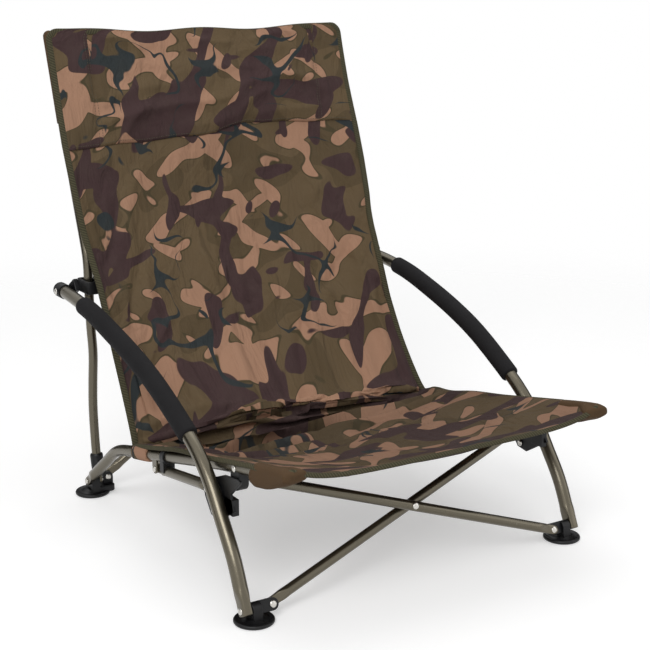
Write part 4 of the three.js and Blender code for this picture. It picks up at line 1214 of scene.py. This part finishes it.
# One side's cloth stands out beside the crease
def flareAt(u, v, end):
    right = np.maximum(u, 0) ** drops["rightPower"]
    return drops["flare"] * right * np.maximum(0, 1 - v / end) ** drops["flarePower"]


def seatBase(u, v):
    edge = onEdge(seatEdge, v)
    belly = 1 - u * u
    front = 1 - np.abs(u) ** drops["frontPower"]
    crease = cloth["creaseSag"] * (1 - v)
    depth = (crease + cloth["seatSag"] * np.sin(math.pi * np.clip(v, 0, 1))) * belly
    depth = depth + cloth["frontSag"] * v * v * front
    over = smoothStep(np.abs(u), drops["sideStart"], 1.0)
    depth = depth + over * (drops["side"] + drops["corner"] * smoothStep(v, drops["cornerStart"], 1.0))
    right = np.maximum(u, 0) ** drops["rightPower"]
    depth = depth - drops["hump"] * right * np.exp(-(((v - drops["humpAt"]) / drops["humpWide"]) ** 2))
    x = cloth["seatHalf"] * u + flareAt(u, v, drops["seatFlareEnd"])
    return np.stack((x, edge[..., 1] + crease * belly, edge[..., 2] - depth), -1)


def backBase(u, v):
    edge = onEdge(backEdge, v)
    belly = np.maximum(0, 1 - u * u) ** drops["backPower"]
    swell = cloth["backSag"] * np.sin(math.pi * np.clip(v, 0, 1))
    depth = cloth["creaseSag"] * (1 - v) + cloth["topSag"] * v + swell
    width = np.interp(v, *zip(*widths))
    drop = cloth["creaseSag"] * np.maximum(0, 1 - v / drops["creaseEnd"])
    upper = smoothStep(v, drops["topStart"], 1.0)
    wave = drops["topWave"] * np.sin(drops["topWaves"] * u + drops["topWaveAt"])
    z = edge[..., 2] + cloth["creaseGap"] * (1 - v) - drop * belly
    z = z + upper * (drops["topRise"] - drops["top"] * (1 - u ** drops["topPower"]) + wave)
    x = width * u + flareAt(u, v, drops["backFlareEnd"])
    here = np.stack((x, edge[..., 1] + depth * belly, z), -1)
    behind = np.array((0, drops["tuckBack"], drops["tuckDown"]))
    rear = seatBase(np.clip(u, -1, 1), np.zeros_like(v)) + behind
    tuck = 1 - smoothStep(v, 0, drops["tuck"])
    return here * (1 - tuck[..., None]) + rear * tuck[..., None]


# The slung cloth is settled once, as one sheet from the seat's front edge to the top of the back:
# its sides are held on the frame, and it is cut a little longer than its way round the crease
sling = {
    "columns": 84, "seatRows": 84, "backRows": 96, "seatWide": 1.010, "backWide": 1.004, "long": 1.003,
    "widenRun": 300, "creaseExtra": 0.17, "creaseReach": 115, "creaseShift": -35, "held": 0.972,
    "frames": 36, "finer": 3,
}
# The first small unevenness, from which the folds of the settled cloth start
ripple = {
    "height": 4.0, "across": 1.4, "along": 0.045, "seed": 3.3, "forward": 0.7, "lead": 40, "reach": 150,
}
clothSettings = {
    "quality": 7, "mass": 0.35, "tension_stiffness": 40, "compression_stiffness": 40,
    "shear_stiffness": 12, "bending_stiffness": 1.2, "tension_damping": 12, "compression_damping": 12,
    "bending_damping": 1.5, "air_damping": 4,
}
selfDistance = 0.0025


def cutLength(s):
    middle = seatLength + sling["creaseShift"]
    extra = sling["creaseExtra"] * np.exp(-((s - middle) / sling["creaseReach"]) ** 2)
    return np.concatenate(([0], np.cumsum(np.diff(s) * (sling["long"] + (extra[1:] + extra[:-1]) / 2))))


def startPoints(u, s):
    onSeat = s < seatLength
    seatV = np.clip(1 - s / seatLength, 0, 1)
    backV = np.clip((s - seatLength) / backLength, 0, 1)
    return np.where(onSeat[..., None], seatBase(u, seatV), backBase(u, backV))


def settle():
    columns = sling["columns"]
    s = np.concatenate((
        np.linspace(0, seatLength, sling["seatRows"] + 1)[:-1],
        np.linspace(seatLength, seatLength + backLength, sling["backRows"] + 1),
    ))
    u, ss = np.meshgrid(np.linspace(-1, 1, columns + 1), s)
    start = startPoints(u, ss)
    rise = softNoise(u * ripple["across"], ss * ripple["along"], 1.0, ripple["seed"])
    rise = rise * ripple["height"] * (1 - np.abs(u))
    rise = rise * np.exp(-((ss - seatLength + ripple["lead"]) / ripple["reach"]) ** 2)
    start[..., 2] += rise
    start[..., 1] -= rise * ripple["forward"]
    upper = smoothStep(ss, seatLength, seatLength + sling["widenRun"])
    wide = sling["seatWide"] + (sling["backWide"] - sling["seatWide"]) * upper
    halfWidth = np.abs(start[:, :1, 0])
    count = columns + 1
    flat = np.stack((u * halfWidth * wide, np.repeat(cutLength(s)[:, None], count, 1), 0 * u), -1)
    faces = [
        (j * count + i, j * count + i + 1, (j + 1) * count + i + 1, (j + 1) * count + i)
        for j in range(len(s) - 1) for i in range(columns)
    ]
    mesh = bpy.data.meshes.new("slungCloth")
    mesh.from_pydata((start.reshape(-1, 3) / 1000).tolist(), [], faces)
    obj = bpy.data.objects.new("slungCloth", mesh)
    scene.collection.objects.link(obj)
    obj.shape_key_add(name="Basis")
    cutKey = obj.shape_key_add(name="flatCut")
    cutKey.data.foreach_set("co", (flat.reshape(-1, 3) / 1000).ravel())
    cutKey.value = 0.0
    held = obj.vertex_groups.new(name="held")
    edge = (np.abs(u) >= sling["held"]) | (ss <= s[0]) | (ss >= s[-1])
    held.add([int(k) for k in np.nonzero(edge.ravel())[0]], 1.0, "REPLACE")
    mod = obj.modifiers.new("Cloth", "CLOTH")
    mod.settings.rest_shape_key = cutKey
    mod.settings.vertex_group_mass = "held"
    for name, value in clothSettings.items():
        setattr(mod.settings, name, value)
    mod.collision_settings.use_self_collision = True
    mod.collision_settings.self_distance_min = selfDistance
    mod.collision_settings.use_collision = False
    mod.point_cache.frame_start = 1
    mod.point_cache.frame_end = sling["frames"]
    for number in range(1, sling["frames"] + 1):
        scene.frame_set(number)
    settled = obj.evaluated_get(bpy.context.evaluated_depsgraph_get()).to_mesh()
    co = np.zeros(len(settled.vertices) * 3)
    settled.vertices.foreach_get("co", co)
    scene.frame_set(1)
    bpy.data.objects.remove(obj)
    return co.reshape(len(s), count, 3) * 1000


# A finer table of the settled points, by smooth interpolation, and a look-up in it
def finer(table, factor):
    count = len(table)
    where = np.linspace(0, count - 1, (count - 1) * factor + 1)
    k = np.minimum(where.astype(int), count - 2)
    f = (where - k).reshape((-1,) + (1,) * (table.ndim - 1))
    before, after = table[np.maximum(k - 1, 0)], table[np.minimum(k + 2, count - 1)]
    here, there = table[k], table[k + 1]
    slope = 2 * before - 5 * here + 4 * there - after
    bend = 3 * (here - there) + after - before
    return here + 0.5 * f * (there - before + f * (slope + f * bend))


def lookUp(table, across, way):
    rows, columns = table.shape[:2]
    x = np.clip(across, 0, 1) * (columns - 1)
    y = np.clip(way, 0, 1) * (rows - 1)
    i, j = np.minimum(x.astype(int), columns - 2), np.minimum(y.astype(int), rows - 2)
    fx, fy = (x - i)[..., None], (y - j)[..., None]
    low = table[j, i] * (1 - fx) + table[j, i + 1] * fx
    high = table[j + 1, i] * (1 - fx) + table[j + 1, i + 1] * fx
    return low * (1 - fy) + high * fy


def finerBothWays(table):
    along = finer(table, sling["finer"])
    return np.swapaxes(finer(np.swapaxes(along, 0, 1), sling["finer"]), 0, 1)


settledTable = settle()
creaseRow = sling["seatRows"]
seatTable = finerBothWays(settledTable[: creaseRow + 1][::-1])
backTable = finerBothWays(settledTable[creaseRow:])
print("cloth settled")


def settledNormal(table, across, way, step=0.004):
    side = lookUp(table, across + step, way) - lookUp(table, across - step, way)
    forward = lookUp(table, across, way + step) - lookUp(table, across, way - step)
    return unitRows(np.cross(side, forward))


# How far in from its edges each cloth's folds reach their full height
foldMargin = {"seatSide": 0.10, "backSide": 0.08, "crease": 14, "far": 40}


def foldedSheet(table, u, v, lift, length, half, rows, free):
    x, y = u * half, v * length
    free = free * smoothStep(length - y, 0, foldMargin["far"])
    folds = foldHeight(x, y, rows) * free * cloth["foldShare"]
    across = (u + 1) / 2
    return lookUp(table, across, v) + settledNormal(table, across, v) * (lift + folds)[..., None]


def seatSheet(u, v, lift=0.0):
    half = cloth["seatHalf"]
    u = u * cornerNarrow(v, seatLength, half, cloth["corner"])
    free = inShare(u, foldMargin["seatSide"]) * smoothStep(v * seatLength, 0, foldMargin["crease"])
    return foldedSheet(seatTable, u, v, lift, seatLength, half, seatFolds, free)


def backSheet(u, v, lift=0.0):
    half = cloth["backHalf"]
    u = u * cornerNarrow(v, backLength, half, cloth["corner"])
    free = inShare(u, foldMargin["backSide"])
    return foldedSheet(backTable, u, v, lift, backLength, half, backFolds, free)


# The headrest is a second sheet on the upper back, full above its lower seam
layer = {
    "seam": 0.72, "width": 0.974, "puff": 7.5, "thickness": 1.4, "foldShare": 1.9, "puffLow": 0.55,
    "puffSide": 0.22, "puffSidePower": 0.6, "foldSide": 0.15, "foldLow": 5, "gap": 0.1, "fullGap": 0.4,
    "gapSide": 0.05,
}
seamLine = [
    (-1, 0.706), (-0.8, 0.709), (-0.62, 0.713), (-0.45, 0.710), (-0.25, 0.715), (-0.08, 0.714),
    (0.04, 0.720), (0.14, 0.733), (0.24, 0.743), (0.38, 0.740), (0.52, 0.744), (0.68, 0.739),
    (0.85, 0.741), (1, 0.736),
]
layerFolds = [
    (-250, 30, 60, 60, 12, 3.6, 14), (-60, 20, 250, 34, 12, 3.0, -10), (-230, 70, -60, 96, 14, 2.8, 12),
    (40, 70, 240, 92, 14, 2.8, 14), (-120, 110, 120, 118, 14, 2.0, 10), (60, 20, 130, 70, 11, 3.2, 8),
    (-180, 10, -120, 70, 10, 3.0, 8), (150, 110, 250, 60, 12, 2.6, 8),
    (-231, -20, -222, 250, 6, -3.0, 0), (238, -20, 234, 250, 6, -3.0, 0),
    (-200, 190, -120, 172, 9, 2.2, 6), (-20, 186, 70, 176, 9, 2.2, -5), (100, 180, 200, 190, 9, 2.2, 6),
    (-150, 150, -20, 140, 13, 1.8, -8), (60, 150, 190, 160, 13, 1.8, 8),
]


def layerSheet(u, v, lift=0.0):
    seam = np.interp(u, *zip(*seamLine))
    share = seam + (1 - seam) * v
    base = backSheet(u * layer["width"], share)
    normal = settledNormal(backTable, (u * layer["width"] + 1) / 2, share)
    x, y = u * cloth["backHalf"], v * (1 - layer["seam"]) * backLength
    puff = layer["puff"] * np.sin(math.pi * np.clip(v, 0, 1) ** layer["puffLow"])
    puff = puff * inShare(u, layer["puffSide"]) ** layer["puffSidePower"]
    free = inShare(u, layer["foldSide"]) * np.clip(v * layer["foldLow"], 0, 1)
    folds = foldHeight(x, y, layerFolds) * free
    close = layer["gap"] + layer["fullGap"] * inShare(u, layer["gapSide"])
    rise = (cloth["thickness"] + layer["thickness"]) / 2 + close + puff + folds * layer["foldShare"] + lift
    return base + normal * rise[..., None]


def sheetShell(upper, lower):
    rows, columns = upper.shape[:2]
    count = rows * columns
    points = np.vstack((upper.reshape(-1, 3), lower.reshape(-1, 3)))
    faces = []
    for j in range(rows - 1):
        for i in range(columns - 1):
            a = j * columns + i
            faces.append((a, a + 1, a + columns + 1, a + columns))
            faces.append((a + count, a + columns + count, a + columns + 1 + count, a + 1 + count))
    last = (rows - 1) * columns
    rim = list(range(columns)) + [j * columns + columns - 1 for j in range(1, rows)]
    rim += [last + i for i in range(columns - 2, -1, -1)] + [j * columns for j in range(rows - 2, 0, -1)]
    for k, a in enumerate(rim):
        b = rim[(k + 1) % len(rim)]
        faces.append((a, a + count, b + count, b))
    return points, faces


def clothPiece(name, surface, cells, length, halfWidth, thickness, material, body, node):
    u, v = np.meshgrid(np.linspace(-1, 1, cells[0] + 1), np.linspace(0, 1, cells[1] + 1))
    half = thickness / 2
    flat = np.stack((u * halfWidth, v * length), -1).reshape(-1, 2) / 1000
    shell = sheetShell(surface(u, v, half), surface(u, v, -half))
    return piece(name, [shell], material, body, [node], uvs=np.vstack((flat, flat)), smoothAngle=75)


# Edge tape folded over the edge of a sheet along a path of shares, hanging by a share from upright
taping = {
    "seatSize": (7.5, 3.6), "seatHang": 0.6, "backSize": (11.5, 5.6), "inset": 0.02, "farEdge": 0.985,
    "overlap": 1.6, "widePower": 0.5, "thickPower": 0.7, "sides": 14,
}


def tapeAround(name, surface, shares, width, thick, body, hang=0.0):
    u, v = shares[:, 0], shares[:, 1]
    line = surface(u, v)
    inner = surface(u * (1 - taping["inset"]), v - taping["inset"] * (v > taping["farEdge"]))
    tangent = unitRows(np.gradient(line, axis=0))
    inward = inner - line
    inward = unitRows(inward - (inward * tangent).sum(1)[:, None] * tangent)
    if hang:
        up = unitRows(np.array(upWay) - tangent[:, 2:] * tangent)
        inward = unitRows(inward * (1 - hang) + up * hang)
        line = line - inward * (width - 2 * taping["overlap"])
    normal = np.cross(tangent, inward)
    middle = line + inward * (width / 2 - taping["overlap"])
    count = taping["sides"]
    turn = turns(count)
    across = width / 2 * signedPower(np.cos(turn), taping["widePower"])
    up = thick / 2 * signedPower(np.sin(turn), taping["thickPower"])
    shell = lofted([ringAt(middle[k], inward[k], normal[k], across, up) for k in range(len(line))])
    around = np.tile(np.cos(turn) * width / 2, len(line))
    uvs = np.stack((np.repeat(runAlong(line), count), around), -1) / 1000
    return piece(name, [shell], tape, body, uvs=uvs, smoothAngle=60)


# Shares of a path up the left edge, round the far corners and down the right one
def roundShares(length, r, steps=150, cornerSteps=16, acrossSteps=110):
    start = 1 - r / length
    up = [(-1, v) for v in np.linspace(0, start, steps)]
    turnIn = [(-1, start + (1 - start) * math.sin(a)) for a in quarter(cornerSteps)[1:]]
    top = [(u, 1) for u in np.linspace(-1, 1, acrossSteps)[1:-1]]
    rest = [(-u, v) for u, v in (up + turnIn)[::-1]]
    return np.array(up + turnIn + top + rest)


layerLength = (1 - layer["seam"]) * backLength
seatPiece = clothPiece(
    "seat_cloth", seatSheet, cloth["seatCells"], seatLength, cloth["seatHalf"],
    cloth["thickness"], seatPrint, "rail_left", "seat_panel",
)
backPiece = clothPiece(
    "back_cloth", backSheet, cloth["backCells"], backLength, cloth["backHalf"],
    cloth["thickness"], backPrint, "back_sling", "back_panel",
)
layerPiece = clothPiece(
    "headrest_cloth", layerSheet, cloth["layerCells"], layerLength, cloth["backHalf"] * layer["width"],
    layer["thickness"], layerPrint, "back_sling", "headrest_layer",
)
seatPath, backPath = roundShares(seatLength, cloth["corner"]), roundShares(backLength, cloth["corner"], 190)
seatTape = tapeAround(
    "seat_edge_tape", seatSheet, seatPath, *taping["seatSize"], "rail_left", taping["seatHang"]
)
backTape = tapeAround("back_edge_tape", backSheet, backPath, *taping["backSize"], "back_sling")


# Lock stitches: short raised threads, one after another along a path of shares on a sheet
stitching = {
    "length": 3.4, "gap": 1.6, "radius": 0.45, "rise": 0.85,
    "shares": (0, 0.2, 0.8, 1), "thickness": (0.3, 1, 1, 0.3),
}


def stitchPiece(name, surface, paths, body):
    shells = []
    turn = turns(6, 0)
    length, gap = stitching["length"], stitching["gap"]
    for u, v in paths:
        line = surface(u, v, stitching["rise"])
        normal = unitRows(line - surface(u, v))
        run = runAlong(line)
        for s in np.arange(gap, run[-1] - length, length + gap):
            centre = pointsAt(line, s + length * np.array(stitching["shares"]))
            up = normal[min(int(np.searchsorted(run, s)), len(line) - 1)]
            side = np.cross(unit(centre[-1] - centre[0]), up)
            rings = []
            for point, share in zip(centre, stitching["thickness"]):
                r = stitching["radius"] * share
                rings.append(ringAt(point, side, up, r * np.cos(turn), r * np.sin(turn)))
            shells.append(lofted(rings))
    return piece(name, shells, thread, body)


def straightShares(start, end, count=120):
    return tuple(np.linspace(a, b, count) for a, b in zip(start, end))


# Two seams beside each end of the layer, from low to high, and one along its lower edge
endSeams = [(-0.770, -0.800), (-0.750, -0.780), (0.790, 0.820), (0.770, 0.800)]
seamEnds = {"low": 0.02, "high": 0.985, "across": 0.97, "lower": 0.022, "lowerSamples": 300}
seamPaths = [straightShares((a, seamEnds["low"]), (b, seamEnds["high"])) for a, b in endSeams]
across, lower = seamEnds["across"], seamEnds["lower"]
seamPaths.append(straightShares((-across, lower), (across, lower), seamEnds["lowerSamples"]))
layerStitches = stitchPiece("headrest_stitches", layerSheet, seamPaths, "back_sling")
print("cloth made")

# When the chair folds, the seat goes with the left rail and the back with the left upright; each of these
# pieces gets a mesh of its own
for obj in (seatPiece, seatTape):
    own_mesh(obj)
for obj in (backPiece, backTape, layerPiece, layerStitches):
    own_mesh(obj)


# Pockets and tabs: flat sleeves of cloth sewn round the tube ends
pocket = {
    "stations": 40, "sides": 32, "around": 70, "power": 3.0, "samplesBack": 5,
    "topLength": 150, "topRadius": 9.6, "topFlat": 0.96,
    "topSteps": (5, 9, 11), "topClosing": (0.95, 0.7, 0.3),
    "tipLength": 92, "tipDrop": 5.2, "tipTuck": 10, "tipThin": 11.6, "tipWide": 12.2,
    "tipSteps": (3, 5, 6), "tipClosing": (0.95, 0.75, 0.4),
    "mouthRun": 0.08, "mouthOpen": 0.3, "tipFlat": 0.35,
    "dropRun": (0.3, 0.95), "tuckRun": (0.55, 1.0), "flatRun": (0.8, 1.0),
    "tabStart": 104, "tabEnd": 52, "tabRadius": 11.7, "tabStep": 3,
}


def sleevePiece(word, name, line, halfThin, halfWide, flatWay, material, body, node):
    count = pocket["sides"]
    shell = swept(line, flatWay, halfThin, halfWide, [pocket["power"]] * len(line), count)
    run = np.linspace(0, lineLength(line), len(line))
    around = np.tile(np.linspace(0, pocket["around"], count), len(line))
    uvs = np.stack((around, np.repeat(run, count)), -1) / 1000
    return sidePiece(word, name, [shell], material, body, node, uvs=uvs, smoothAngle=70)


# The last stretch of a tube, and a few steps beyond its end where the sleeve closes
def endLine(tube, length, steps):
    total = lineLength(tube)
    line = pointsAt(tube, np.linspace(total - length, total, pocket["stations"]))
    way = unit(tube[-1] - tube[-pocket["samplesBack"]])
    return np.vstack([line] + [line[-1] + way * step for step in steps])


def closing(shares):
    return np.concatenate((np.ones(pocket["stations"]), shares))


for side, word in sides:
    line = endLine(uprightLine(side), pocket["topLength"], pocket["topSteps"])
    wide = pocket["topRadius"] * closing(pocket["topClosing"])
    thin = wide * pocket["topFlat"]
    sleevePiece(word, "top_pocket_sewn", line, thin, wide, alongWay, lining, "upright", "top_pocket")
    rail = railLine(side)
    line = endLine(rail, pocket["tipLength"], pocket["tipSteps"])
    run = np.linspace(0, 1, len(line))
    opening = pocket["mouthOpen"]
    mouth = np.sqrt(np.clip(run / pocket["mouthRun"], 0, 1)) * opening + (1 - opening)
    deep = pocket["tipDrop"] * mouth * (1 - smoothStep(run, *pocket["dropRun"]))
    inward = pocket["tipTuck"] * smoothStep(run, *pocket["tuckRun"])
    line = line - np.stack((side * inward, 0 * run, deep), -1)
    close = closing(pocket["tipClosing"])
    flat = 1 - pocket["tipFlat"] * smoothStep(run, *pocket["flatRun"])
    thin = (pocket["tipThin"] + inward) * close
    wide = (pocket["tipWide"] + deep) * flat * close * mouth
    sleevePiece(word, "corner_pocket_sewn", line, thin, wide, acrossWay, lining, "rail", "corner_pocket")
    ends = sorted(int(np.argmin(np.abs(rail[:, 1] - pocket[key]))) for key in ("tabStart", "tabEnd"))
    line = rail[ends[0]: ends[1] + 1: pocket["tabStep"]]
    size = np.full(len(line), pocket["tabRadius"])
    sleevePiece(word, "crease_tab_sewn", line, size, size, acrossWay, backPrint, "rail", "crease_tab")
print("pockets and tabs made")
